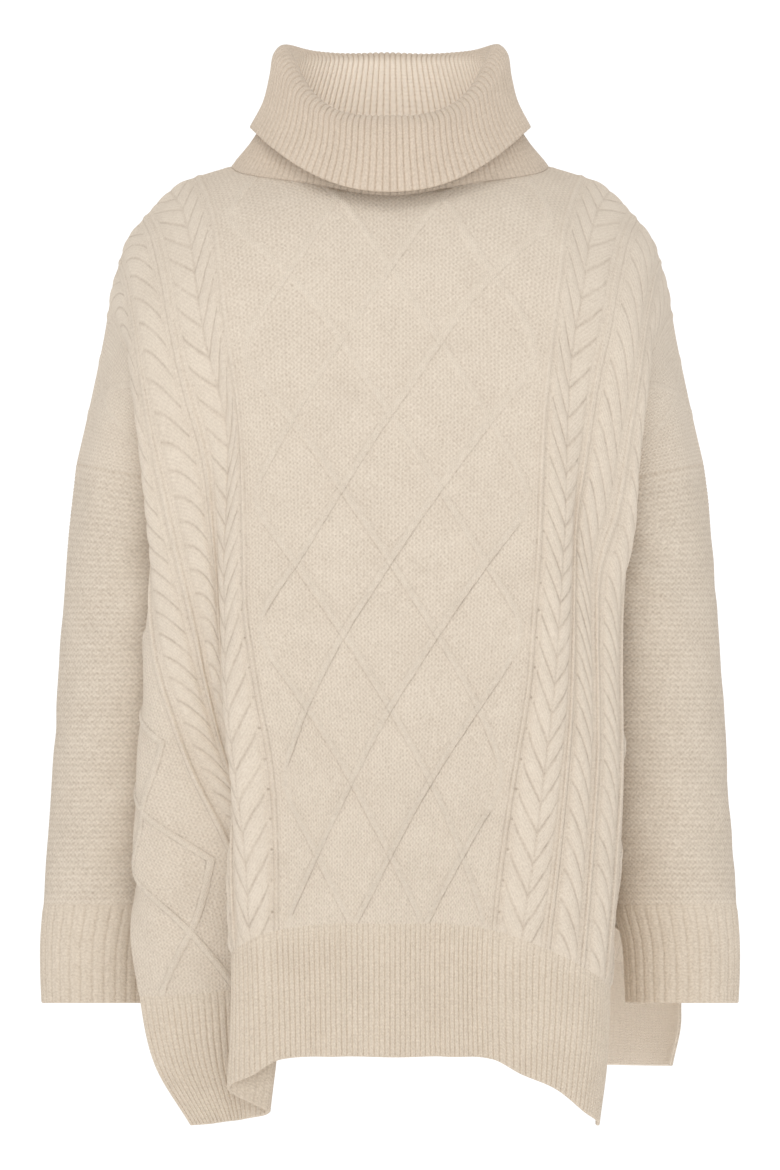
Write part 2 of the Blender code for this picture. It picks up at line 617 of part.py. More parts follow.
def hem_object(name, collection, panel):
    """The ribbed band below a panel."""
    gap = SEAM_GAP / 2.0
    reach = HALF_WIDTH - gap
    rows = np.array([PANEL_END + gap, PANEL_END + 8.0, PANEL_END + 50.0, HEM_END])
    sides = []
    for count, ribbed in ((2 * HEM_RIBS + 1, True), (HEM_RIBS + 1, False)):
        columns = np.linspace(-reach, reach, count)
        grid_s, grid_t = np.meshgrid(columns, rows)
        lift = np.full(grid_s.shape, -WALL)
        if ribbed:
            lift = np.tile((np.arange(count) % 2) * RIB_RISE, (len(rows), 1))
            lift[0] = 0.0
        side = panel.place(grid_s.ravel(), grid_t.ravel(), lift.ravel()).reshape(len(rows), -1, 3)
        if ribbed:
            settle(side[0])
        sides.append(side)
    outer, inner = sides
    rows_n, cols_o, cols_i = len(rows), outer.shape[1], inner.shape[1]
    points = np.vstack([outer.reshape(-1, 3), inner.reshape(-1, 3)])
    first = rows_n * cols_o
    rims = []
    for row in (0, rows_n - 1):
        rims += strip(points, [row * cols_o + c for c in range(cols_o)],
                      [first + row * cols_i + c for c in range(cols_i)])
    for col_o, col_i in ((0, 0), (cols_o - 1, cols_i - 1)):
        rims += strip(points, [r * cols_o + col_o for r in range(rows_n)],
                      [first + r * cols_i + col_i for r in range(rows_n)])
    return shell_object(name, collection, outer.reshape(-1, 3), grid_faces(rows_n, cols_o, False),
                        inner.reshape(-1, 3), grid_faces(rows_n, cols_i, False), rims, RIB_COLOUR)


# ---- seams that run round ------------------------------------------------------------------------
def seam_ring(front, back, front_places, back_places):
    """Points and wall directions round an opening, from the panels' own edges."""
    points, normals = [], []
    for panel, places in ((front, front_places), (back, back_places)):
        s, t = (np.array(column, float) for column in zip(*places))
        points.append(panel.raw(s, t))
        normals.append(panel.normal(s, t))
    return np.vstack(points), np.vstack(normals)


def between(ring):
    """Add a point half way between each two neighbours of a ring."""
    out = np.zeros((2 * len(ring), 3))
    out[0::2] = ring
    out[1::2] = (ring + np.roll(ring, -1, axis=0)) / 2.0
    return out


def unit(vectors):
    return vectors / np.linalg.norm(vectors, axis=-1, keepdims=True)


# ---- sleeves and cuffs ---------------------------------------------------------------------------
def arm_ring(table, heights, columns, lift):
    """Rings of a sleeve, each pushed out by lift (rows, columns)."""
    sizes = smooth(table, heights)
    angle = np.linspace(0.0, 2 * np.pi, columns, endpoint=False)
    out = np.zeros((len(heights), columns, 3))
    for row, (z, (inner, outer, front, back)) in enumerate(zip(heights, sizes)):
        middle, half = (inner + outer) / 2.0, (outer - inner) / 2.0
        centre_y, deep = (front + back) / 2.0, (back - front) / 2.0
        cos, sin = np.cos(angle), -np.sin(angle)
        out[row, :, 0] = middle + (half + lift[row]) * cos
        out[row, :, 1] = centre_y + (deep + lift[row]) * sin
        tilt = 10.5 * float(step(-330.0, -222.0, z))
        out[row, :, 2] = z + tilt * cos - tilt
    return unseen(out)


def armhole_ring(front, back, sign):
    """The armhole edge from the outside of the arm forward and round."""
    rows = np.linspace(0.0, ARMHOLE, CUFF_RIBS // 2 + 1)
    edge = sign * HALF_WIDTH
    forward = [(edge, t) for t in rows[:-1]]
    backward = [(edge, t) for t in rows[:0:-1]]
    return seam_ring(front, back, forward, backward)


def sleeve_side(front, back, sign, heights, lift):
    """One side of the sleeve's wall: its first ring follows the armhole edge."""
    ring, normal = armhole_ring(front, back, sign)
    rings = arm_ring(SLEEVE_RINGS, heights, CUFF_RIBS, np.full((len(heights), 1), lift))
    plain = arm_ring(SLEEVE_RINGS, heights[:1], CUFF_RIBS, np.zeros((1, 1)))[0]
    rings[..., 0] *= sign
    plain[..., 0] *= sign
    along = unit(np.roll(ring, -1, axis=0) - np.roll(ring, 1, axis=0))
    down = unit(np.cross(along, normal))
    down *= np.sign(np.sum(down * (rings[1] - ring), axis=1))[:, None]
    top = ring + down * SEAM_GAP + normal * lift
    shift = ring - plain
    for row, z in enumerate(heights):
        rings[row] += shift * float(step(-310.0, heights[0], z))
    rings[0] = top
    return rings


def sleeve_object(name, collection, front, back, sign):
    heights = np.array([-222.0, -240.0, -262.0, -290.0, -325.0, -370.0, -420.0, -470.0, -517.0, -561.8])
    outer = sleeve_side(front, back, sign, heights, 0.0)
    inner = sleeve_side(front, back, sign, heights[[0, 1, 3, 4, 5, 7, 9]], -WALL)
    return tube_object(name, collection, outer, inner, CLOTH_COLOUR)


def cuff_object(name, collection, sign):
    heights = np.array([-562.1, -568.0, -638.0])
    wave = np.tile((np.arange(2 * CUFF_RIBS) % 2) * RIB_RISE, (3, 1))
    outer = arm_ring(CUFF_RINGS, heights, 2 * CUFF_RIBS, wave)
    outer[0] = between(arm_ring(CUFF_RINGS, heights[:1], CUFF_RIBS, np.zeros((1, 1)))[0])
    inner = arm_ring(CUFF_RINGS, heights, CUFF_RIBS, np.full((3, 1), -WALL))
    for grid in (outer, inner):
        grid[..., 0] *= sign
    return tube_object(name, collection, outer, inner, RIB_COLOUR)


# ---- collar --------------------------------------------------------------------------------------
COLLAR_CENTRE = 12.0


def collar_rings(places, columns):
    """Rings of the collar: rising, rolled over and hanging, one for each place."""
    sizes = smooth(dict(enumerate(COLLAR_ROWS)), places)
    angle = np.linspace(0.0, 2 * np.pi, columns, endpoint=False)
    cos, sin = np.cos(angle)[None, :], -np.sin(angle)[None, :]
    wide, front, back, z_side, z_front, z_back = (sizes[:, k:k + 1] for k in range(6))
    reach = np.where(sin < 0.0, COLLAR_CENTRE - front, back - COLLAR_CENTRE)
    y = COLLAR_CENTRE + reach * sin
    z = np.where(sin < 0.0, z_front, z_back) * sin**2 + z_side * cos**2
    return unseen(np.stack(np.broadcast_arrays(wide * cos, y, z), axis=2))


def collar_side(front, back, places, columns, lift):
    """One side of the collar's wall: its first ring follows the neck edge."""
    line = neck_line(NECK_FRONT)
    behind_line = neck_line(NECK_BACK)[::-1]
    ring, normal = seam_ring(front, back, line[:-1], behind_line[:-1])
    along = unit(np.roll(ring, -1, axis=0) - np.roll(ring, 1, axis=0))
    up = unit(np.cross(along, normal))
    up *= np.sign(up[:, 2:3])
    rings = collar_rings(places, columns)
    plain = collar_rings(places[:1], COLLAR_RIBS)[0]
    shift = ring - plain
    if columns > COLLAR_RIBS:
        shift = between(shift)
    for row, place in enumerate(places):
        rings[row] += shift * (1.0 - float(step(0.0, 2.6, place)))
    later = rings + 0.0
    later[:-1] = rings[1:]
    sooner = rings + 0.0
    sooner[1:] = rings[:-1]
    run = np.roll(rings, -1, axis=1) - np.roll(rings, 1, axis=1)
    out = unit(np.cross(run, later - sooner))
    rings = rings + out * lift
    top = ring + up * SEAM_GAP - normal * WALL * (columns > COLLAR_RIBS)
    rings[0] = between(top) if columns > COLLAR_RIBS else top
    return rings


def collar_object(name, collection, front, back):
    wave = ((np.arange(2 * COLLAR_RIBS) % 2) * RIB_RISE)[None, :, None]
    places = np.array([0.0, 1.0, 2.2, 3.3, 4.0, 5.0, 6.0, 7.2, 9.0])
    outer = collar_side(front, back, places, 2 * COLLAR_RIBS, wave)
    inner = collar_side(front, back, places, COLLAR_RIBS, np.full((1, 1, 1), -WALL))
    return tube_object(name, collection, outer, inner, RIB_COLOUR)


def clear_scene():
    for item in list(bpy.data.objects):
        bpy.data.objects.remove(item, do_unlink=True)


def new_collection(name):
    collection = bpy.data.collections.new(name)
    bpy.context.scene.collection.children.link(collection)
    return collection


def main():
    clear_scene()
    collection = new_collection("turtleneck_sweater")
    seams = front_net()
    front = Panel(front_net(), seams, FLUTES_FRONT, -1.0, NECK_FRONT)
    back = Panel(back_net(), seams, FLUTES_BACK, 1.0, NECK_BACK)
    panel_object("front_panel", collection, front, NECK_FRONT)
    panel_object("back_panel", collection, back, NECK_BACK)
    hem_object("front_hem_rib", collection, front)
    hem_object("back_hem_rib", collection, back)
    for side, sign in (("left", -1.0), ("right", 1.0)):
        sleeve_object("sleeve_" + side, collection, front, back, sign)
        cuff_object("cuff_" + side, collection, sign)
    collar_object("collar", collection, front, back)


if __name__ == "__main__":
    main()
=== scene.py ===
"""Looks of the turtleneck sweater: its knitted pieces over the frame, finishes, light and camera.

All lengths are millimetres on the flat cloth (s across, t down from the shoulder line) until a
mesh is made, and metres after that.
"""
import logging
import math
from dataclasses import dataclass
from enum import Enum
from typing import Any, Optional, Sequence

import bmesh
import bpy
import numpy as np
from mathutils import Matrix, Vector


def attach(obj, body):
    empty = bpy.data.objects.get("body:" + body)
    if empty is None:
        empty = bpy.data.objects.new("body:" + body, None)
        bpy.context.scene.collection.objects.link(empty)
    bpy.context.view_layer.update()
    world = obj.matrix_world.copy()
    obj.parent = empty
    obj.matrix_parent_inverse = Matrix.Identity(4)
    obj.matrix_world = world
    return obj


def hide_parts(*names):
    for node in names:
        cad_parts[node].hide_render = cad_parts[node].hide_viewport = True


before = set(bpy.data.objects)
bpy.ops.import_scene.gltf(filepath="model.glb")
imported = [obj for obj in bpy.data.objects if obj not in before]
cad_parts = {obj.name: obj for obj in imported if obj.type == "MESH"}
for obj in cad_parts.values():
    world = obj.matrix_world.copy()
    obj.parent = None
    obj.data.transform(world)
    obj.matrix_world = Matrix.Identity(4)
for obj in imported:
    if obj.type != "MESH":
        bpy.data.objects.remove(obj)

Array = np.ndarray
LOG = logging.getLogger("sweater")
MM = 0.001


# ---- sizes ----
class Face(Enum):
    """Which way a panel looks: its sign along Y."""

    FRONT = -1.0
    BACK = 1.0


class Side(Enum):
    """Which arm, as the photograph shows it: its sign along X."""

    LEFT = -1.0
    RIGHT = 1.0


@dataclass(frozen=True)
class Cloth:
    """The cut of the body panels.

    Attributes:
        wall: thickness of the knit.
        gap: room between two pieces at a seam.
        half_width: from the middle line to the side seam.
        armhole, slit_top, panel_end, hem_end: flat distances from the shoulder line.
        neck_half: half the width of the neck opening.
        neck_front, neck_back: its depth.
    """

    wall: float = 3.0
    gap: float = 0.3
    half_width: float = 338.0
    armhole: float = 180.0
    panel_end: float = 667.0
    hem_end: float = 768.0
    slit_top: float = 572.0
    neck_half: float = 96.0
    neck_front: float = 88.0
    neck_back: float = 62.0


@dataclass(frozen=True)
class Pattern:
    """The raised pattern of the body panels.

    Attributes:
        lattice_half: half the width of the middle lattice.
        lattice_row: height from one crossing of its ridges to the next.
        lattice_start: where a crossing lies on the middle line.
        strands: how many ridges run through it.
        ridge_half, ridge_rise: half the width and the height of a ridge.
        cable_pitch, cable_rise: length of one turn of a cable, and its height.
        lobe: how soft the strands of a cable are, smaller for fuller ones.
        braid, ropes: inner and outer edge of each cable.
        braid_steep, rope_steep: how steeply strands run, inner and outer half, left and right.
        braid_curl, rope_curl: how much they bend.
        rib_lines: upright lines between the cables.
        eyelets: place and weight of each row of small holes.
        side_middle, side_half: middle and half width of the lattice beside the cables.
    """

    lattice_half: float = 114.0
    lattice_row: float = 58.0
    lattice_start: float = 206.0
    strands: int = 6
    ridge_half: float = 3.3
    ridge_rise: float = 2.1
    cable_pitch: float = 23.5
    cable_rise: float = 3.2
    lobe: float = 0.55
    braid: tuple[float, float] = (124.0, 158.0)
    ropes: tuple[tuple[float, float], ...] = ((170.0, 192.0), (205.0, 227.0))
    braid_steep: tuple[float, float] = (0.95, 1.3)
    rope_steep: tuple[float, float] = (1.0, 0.62)
    braid_curl: float = 0.2
    rope_curl: float = 0.24
    rib_lines: tuple[float, ...] = (118.5, 164.0, 198.5, 234.0)
    eyelets: tuple[tuple[float, float], ...] = ((122.0, 1.7), (202.0, 0.8))
    side_middle: float = 282.0
    side_half: float = 34.0


@dataclass(frozen=True)
class Ribbing:
    """Ribbing round a tube or across a band.

    Attributes:
        count: how many ribs.
        rise: how far they stand out.
        roundness: smaller for fuller ribs with narrower furrows.
    """

    count: int
    rise: float
    roundness: float = 0.62


CLOTH = Cloth()
PATTERN = Pattern()
COLLAR_RIBS = Ribbing(116, 1.3)
HEM_RIBS = Ribbing(120, 0.9)
CUFF_RIBS = Ribbing(30, 0.85)
RIB_COURSE = 2.6            # height of one course of stitches in the ribbing
# Where the view is taken from: how far in front of the sweater, and how high.
VIEW_DISTANCE = 3500.0
VIEW_HEIGHT = -314.0
# Flat distances from the middle line at which the panels' knots lie.
STATIONS = (0.0, 60.0, 118.0, 141.0, 181.0, 216.0, 250.0, 280.0, 310.0, 338.0)
# Shoulder and upper arm: each row is one flat distance from the shoulder line, and holds
# (x, y, z) at each station; x and z as seen from the front.
YOKE = {
    0.0: ((0, 0, 30), (80, 14, 20), (148, 10, 3), (170, 8, -9), (202, 4, -45), (214.5, 3, -83),
        (222, 3, -124), (229, 3, -158), (236, 3, -190), (243, 3, -220)),
    45.0: ((0, -50, 16), (72, -36, 12), (142, -35, -11), (161, -34, -23), (197, -37, -60),
        (209, -37, -98), (211, -40, -138), (217, -39, -168), (222, -37, -195), (227.5, -36, -223)),
    90.0: ((0, -90, -14), (65, -84, -15), (135, -77, -35), (154, -72, -50), (190, -70, -92),
        (203.5, -66, -128), (198, -66, -162), (191.5, -59, -183), (189, -54, -206), (190, -52, -230)),
    135.0: ((0, -113, -55), (62, -111, -58), (131, -103, -70), (149, -97, -87), (183, -91, -131),
        (198, -82, -170), (186, -69, -196), (166, -51, -205), (156, -40, -218), (152.5, -36, -237)),
    180.0: ((0, -124, -98), (61, -122, -101), (126, -117, -114), (142, -111, -130), (173, -101, -177),
        (192, -85, -219), (174, -66, -240), (149, -42, -240), (137, -17, -238), (137, 3, -241)),
}
# Lower rows: height at the middle, then for each station its drop below the middle.
HEIGHTS = {240.0: -157.0, 300.0: -216.0, 360.0: -275.0, 420.0: -334.0, 480.0: -393.0,
           540.0: -452.0, 600.0: -511.0, 667.0: -577.0, 720.0: -630.0, 768.0: -678.0}
DROPS = {240.0: (0, 3, 15, 33, 76, 115, 141, 143, 143, 143),
         300.0: (0, 3, 14, 28, 66, 102, 124, 128, 128, 128),
         360.0: (0, 2, 8, 20, 55, 88, 106, 112, 112, 112),
         420.0: (0, 0, 1, 12, 44, 74, 90, 98, 98, 98),
         480.0: (0, 0, 0, 8, 34, 60, 76, 84, 84, 84),
         540.0: (0, 0, 2, 8, 28, 50, 64, 72, 74, 74),
         600.0: (0, 0, 2, 8, 26, 44, 56, 62, 64, 64),
         667.0: (0, 0, 5, 12, 26, 40, 50, 54, 56, 56),
         720.0: (0, 0, 4, 14, 26, 42, 50, 54, 56, 56),
         768.0: (2, 2, 4, 15, 27, 44, 50, 52, 54, 55)}
# Lower rows of the front, right and left: (x, y) at each station from the lattice edge outward.
FRONT_RIGHT = {
    240.0: ((120, -128), (138, -121), (162, -106), (187, -85), (172, -64), (148, -44), (131, -18),
            (126, 8)),
    300.0: ((117, -131), (136, -122), (150, -110), (174, -95), (178, -70), (157, -52), (138, -25),
            (127, 4)),
    360.0: ((115, -133), (133, -126), (149, -112), (171, -98), (180, -74), (161, -56), (142, -29),
            (130, 0)),
    420.0: ((111.5, -134), (130, -129), (150, -115), (171, -101), (181, -78), (164, -58),
            (146, -31), (134, -1)),
    480.0: ((107, -135), (126, -131), (150, -119), (171, -105), (181, -81), (167, -58),
            (152, -31), (142, -2)),
    540.0: ((97, -136), (119, -133), (147, -123), (168, -109), (179, -84), (171, -58), (161, -30),
            (153, -3)),
    600.0: ((88, -137), (112, -135), (142, -127), (165, -112), (175, -86), (172, -58), (168, -30),
            (165, -2)),
    667.0: ((80, -138), (102, -137), (136, -131), (160, -117), (170, -91), (170, -63), (168, -35),
            (166, -8)),
    720.0: ((79, -138), (101, -138), (133, -133), (157, -120), (167, -95), (168, -67), (167, -39),
            (166, -12)),
    768.0: ((80, -138), (101, -138), (129, -134), (151, -123), (160, -99), (162, -72), (162, -45),
            (162, -19)),
}
FRONT_LEFT = {
    240.0: ((118, -128), (127, -117), (158, -103), (185, -86), (176, -63), (150, -44), (132, -18),
            (126, 8)),
    300.0: ((114.5, -131), (125, -117), (149, -105), (176, -93), (188, -70), (165, -53),
            (142, -27), (127, 3)),
    360.0: ((112.5, -133), (127, -117), (140, -105), (166, -98), (191, -80), (182, -54),
            (156, -37), (138, -12)),
    420.0: ((111.5, -134), (126, -122), (134, -104), (153, -99), (182, -93), (195, -68),
            (177, -46), (156, -24)),
    480.0: ((103, -135), (125, -128), (126, -106), (137, -96), (167, -95), (194, -82), (194, -55),
            (172, -36)),
    540.0: ((92, -136), (119, -133), (118, -115), (112, -103), (146, -94), (177, -91), (199, -76),
            (190, -52)),
    600.0: ((88, -137), (112, -136), (123, -119), (92, -108), (124, -94), (155, -93), (184, -88),
            (202, -68)),
    667.0: ((87.5, -138), (108, -138), (122, -120), (88, -110), (119, -95), (148, -95),
            (174, -91), (195, -78)),
    720.0: ((86, -138), (106, -138), (123, -120), (90, -110), (117, -95), (142, -95), (164, -92),
            (183, -84)),
    768.0: ((85, -138), (105, -138), (126, -119), (96, -110), (113, -95), (127, -95), (141, -94),
            (155, -89)),
}
# Back: how deep it is beside the front, how much higher its middle is, and where its sides run:
# (x, y) at the last four stations.
BACK_DEPTH = {0.0: 1.0, 45.0: 1.0, 90.0: 1.0, 135.0: 1.0, 180.0: 0.95, 240.0: 0.84}
BACK_LIFT = {0.0: 0.0, 45.0: 11.0, 90.0: 26.0, 135.0: 27.0, 180.0: 23.0, 240.0: 20.0, 300.0: 15.0,
             360.0: 10.0, 420.0: 5.0, 480.0: 0.0}
BACK_DROP = {240.0: 1.0, 420.0: 1.0, 540.0: 1.0, 600.0: 0.85, 667.0: 0.55, 720.0: 0.33, 768.0: 0.16}
BACK_SIDE_RIGHT = {
    600.0: ((178, 78), (176, 52), (166, 26), (160, 2)),
    667.0: ((178, 100), (194, 88), (208, 73), (218, 58)),
    720.0: ((186, 103), (204, 92), (218, 76), (226, 58)),
    768.0: ((184, 104), (202, 95), (214, 80), (219, 62)),
}
BACK_SIDE_LEFT = {
    360.0: ((158, 56), (140, 32), (130, 8), (138, -12)),
    420.0: ((150, 46), (134, 22), (138, -4), (156, -24)),
    480.0: ((146, 32), (138, 4), (150, -20), (172, -36)),
    540.0: ((144, 14), (148, -18), (168, -40), (190, -52)),
    600.0: ((144, 12), (148, -18), (168, -40), (190, -50)),
    667.0: ((156, 42), (145, 14), (150, -14), (164, -38)),
    720.0: ((164, 50), (150, 24), (150, -4), (158, -30)),
    768.0: ((166, 58), (154, 32), (152, 4), (156, -22)),
}
# Soft upright flutes near the hem: middle, half width and depth of each, and where it starts.
FLUTES_FRONT = ((52.0, 15.0, 4.0, 430.0), (100.0, 14.0, 3.5, 600.0), (-40.0, 18.0, 3.0, 520.0),
                (-78.0, 13.0, 3.0, 560.0), (8.0, 20.0, -2.5, 520.0))
FLUTES_BACK = ((-70.0, 22.0, 5.0, 380.0), (35.0, 20.0, 5.0, 420.0), (90.0, 18.0, 4.0, 520.0),
               (-15.0, 20.0, -3.0, 500.0))
# Sleeve: height of each ring, inner and outer side as seen, front and back.
SLEEVE_RINGS = {
    -222.0: (137, 243, -52, 58), -250.0: (139, 246.5, -52, 58), -285.0: (142, 249.5, -50, 56),
    -330.0: (145, 253, -51, 55), -380.0: (148, 256.5, -48, 53), -430.0: (152, 260, -47, 51),
    -480.0: (157, 263, -43, 48), -525.0: (164, 266, -40, 44), -562.0: (172, 268.5, -35, 39),
}
CUFF_RINGS = {
    -562.0: (172.5, 268.5, -35, 39), -590.0: (180, 270.5, -32, 36), -615.0: (182, 270.5, -31, 34),
    -638.0: (183, 269.5, -30, 33),
}
# How far behind the shoulder line the middle of the neck lies.
COLLAR_CENTRE = 12.0
# Collar: half width, front and back reach, heights at the side, in front and at the back, and how
# squarely the height turns from front to side.
COLLAR_ROWS = ((113, -86, 70, 15, -10, 25, 2.0), (101, -84, 73, 31, 5, 44, 2.0),
               (88, -83, 75, 60, 22, 68, 2.6), (79, -82, 77, 84, 38, 86, 3.5),
               (76.5, -84, 79, 97, 46, 94, 3.7), (83, -91, 84, 104, 49, 97, 3.7),
               (90, -98, 90, 97, 43, 92, 3.5), (92.5, -102, 95, 80, 30, 80, 3.0),
               (97.5, -104.5, 99, 60, 12, 58, 2.5), (108, -106, 103, 40, -9, 36, 2.2))
# Soft creases on the panels: s0, t0, s1, t1, half width, depth (below 0 for a ridge).
CREASES_FRONT = (
    (-20.0, 190.0, -110.0, 330.0, 26.0, 2.2),
    (30.0, 170.0, 112.0, 300.0, 28.0, 2.0),
    (-90.0, 420.0, -60.0, 640.0, 20.0, 2.2),
    (70.0, 380.0, 92.0, 640.0, 20.0, 2.0),
    (0.0, 430.0, 6.0, 650.0, 24.0, -1.8),
    (-150.0, 150.0, -120.0, 320.0, 16.0, 2.0),
    (152.0, 150.0, 128.0, 330.0, 16.0, 2.0),
    (-215.0, 60.0, -265.0, 120.0, 20.0, 2.5),
    (215.0, 60.0, 265.0, 120.0, 20.0, 2.5),
)
CREASES_BACK = (
    (-10.0, 120.0, -120.0, 260.0, 30.0, 3.0),
    (20.0, 130.0, 140.0, 250.0, 30.0, 2.6),
    (-60.0, 330.0, -30.0, 620.0, 26.0, 3.2),
    (40.0, 300.0, 70.0, 630.0, 24.0, 3.0),
    (120.0, 300.0, 150.0, 560.0, 22.0, 2.8),
    (-130.0, 280.0, -150.0, 520.0, 22.0, 2.4),
    (-10.0, 300.0, 10.0, 600.0, 20.0, -2.0),
    (215.0, 60.0, 262.0, 130.0, 20.0, 2.5),
    (-215.0, 60.0, -262.0, 130.0, 20.0, 2.5),
)
# Soft creases round a sleeve: degrees round (0 outside, 90 front), height, slope, half width,
# half length, depth (below 0 for a ridge).
SLEEVE_CREASES_RIGHT = (
    (120.0, -262.0, 0.9, 9.0, 42.0, 3.0),
    (95.0, -300.0, 1.1, 10.0, 46.0, -2.0),
    (140.0, -330.0, 0.8, 10.0, 40.0, 2.4),
    (70.0, -410.0, -0.5, 13.0, 50.0, 2.0),
    (110.0, -455.0, 0.5, 12.0, 44.0, -1.8),
    (60.0, -505.0, 0.25, 12.0, 52.0, 2.2),
    (130.0, -530.0, -0.3, 9.0, 40.0, 1.8),
    (250.0, -290.0, -0.9, 11.0, 44.0, 3.0),
    (280.0, -380.0, 0.6, 13.0, 50.0, 2.4),
    (240.0, -450.0, -0.4, 12.0, 44.0, 2.2),
    (290.0, -520.0, 0.3, 11.0, 46.0, 2.2),
    (0.0, -470.0, 0.4, 14.0, 40.0, 1.4),
)
SLEEVE_CREASES_LEFT = (
    (118.0, -268.0, 0.8, 9.0, 40.0, 2.6),
    (80.0, -318.0, 1.0, 11.0, 48.0, 2.0),
    (125.0, -370.0, 0.7, 11.0, 40.0, -1.8),
    (90.0, -430.0, -0.4, 13.0, 50.0, 1.8),
    (60.0, -480.0, 0.5, 12.0, 46.0, 2.0),
    (115.0, -520.0, 0.3, 11.0, 44.0, 2.4),
    (250.0, -300.0, -0.8, 11.0, 44.0, 2.8),
    (285.0, -400.0, 0.5, 13.0, 50.0, 2.4),
    (245.0, -480.0, -0.4, 12.0, 44.0, 2.2),
    (10.0, -430.0, -0.4, 14.0, 40.0, 1.4),
)


# ---- smooth interpolation ----
def slope_matrix(knots: Array) -> Array:
    """Slopes at the knots as weights of the values there.

    Args:
        knots: places of the known values, rising.

    Returns:
        One row of weights for each knot.
    """
    count = len(knots)
    slopes = np.zeros((count, count))
    for i in range(count):
        low, high = max(i - 1, 0), min(i + 1, count - 1)
        span = knots[high] - knots[low]
        slopes[i, high] += 1.0 / span
        slopes[i, low] -= 1.0 / span
    return slopes


def weights(knots: Sequence[float], where: Array) -> Array:
    """Cubic weights of the knots' values.

    Args:
        knots: places of the known values, rising.
        where: places to read, held inside the knots.

    Returns:
        One row of weights for each place.
    """
    knots = np.asarray(knots, float)
    where = np.clip(np.asarray(where, float), knots[0], knots[-1])
    slopes = slope_matrix(knots)
    cell = np.clip(np.searchsorted(knots, where, side="right") - 1, 0, len(knots) - 2)
    span = knots[cell + 1] - knots[cell]
    u = (where - knots[cell]) / span
    rows = np.arange(len(where))
    out = np.zeros((len(where), len(knots)))
    out[rows, cell] += 2 * u**3 - 3 * u**2 + 1
    out[rows, cell + 1] += 3 * u**2 - 2 * u**3
    out += ((u**3 - 2 * u**2 + u) * span)[:, None] * slopes[cell]
    out += ((u**3 - u**2) * span)[:, None] * slopes[cell + 1]
    return out


def smooth(table: dict, where: Array) -> Array:
    """Rows of a table {place: values} read between its places.

    Args:
        table: values by place.
        where: places to read.

    Returns:
        One row of values for each place.
    """
    keys = sorted(table)
    values = np.array([table[key] for key in keys], float)
    values = values.reshape(len(keys), -1)
    return weights(keys, where) @ values


def step(low: float, high: float, value: Array) -> Array:
    """Soft step from 0 at low to 1 at high.

    Args:
        low: where it leaves 0.
        high: where it reaches 1; it may lie below low.
        value: places to read.

    Returns:
        The height of the step at each place.
    """
    u = np.clip((np.asarray(value, float) - low) / (high - low), 0.0, 1.0)
    return u * u * (3 - 2 * u)


def unit(vectors: Array) -> Array:
    """The vectors at length 1."""
    return vectors / np.maximum(np.linalg.norm(vectors, axis=-1, keepdims=True), 1e-9)


def unseen(points: Array) -> Array:
    """Turn widths and heights as seen from the front into true ones.

    Args:
        points: (..., xyz) with x and z as seen.

    Returns:
        The true points.
    """
    points = np.array(points, float)
    scale = (VIEW_DISTANCE + points[..., 1]) / VIEW_DISTANCE
    points[..., 0] *= scale
    points[..., 2] = VIEW_HEIGHT + (points[..., 2] - VIEW_HEIGHT) * scale
    return points


def ripple(a: Array, b: Array, size: float, seed: int) -> Array:
    """Slow uneven waves over two flat coordinates, between about -1 and 1.

    Args:
        a: first coordinate.
        b: second coordinate.
        size: usual distance between two crests.
        seed: which set of waves.

    Returns:
        The height of the waves at each place.
    """
    rng = np.random.default_rng(seed)
    total = np.zeros(np.broadcast(a, b).shape)
    for _ in range(7):
        angle = rng.uniform(0.0, 2 * np.pi)
        pace = 2 * np.pi / (size * rng.uniform(0.7, 1.6))
        phase = rng.uniform(0.0, 2 * np.pi)
        total += np.sin((a * np.cos(angle) + b * np.sin(angle)) * pace + phase)
    return total / 4.0


# ---- the panels' net ----
ROWS = sorted(YOKE) + sorted(HEIGHTS)
COLUMNS = [-s for s in reversed(STATIONS[1:])] + list(STATIONS)


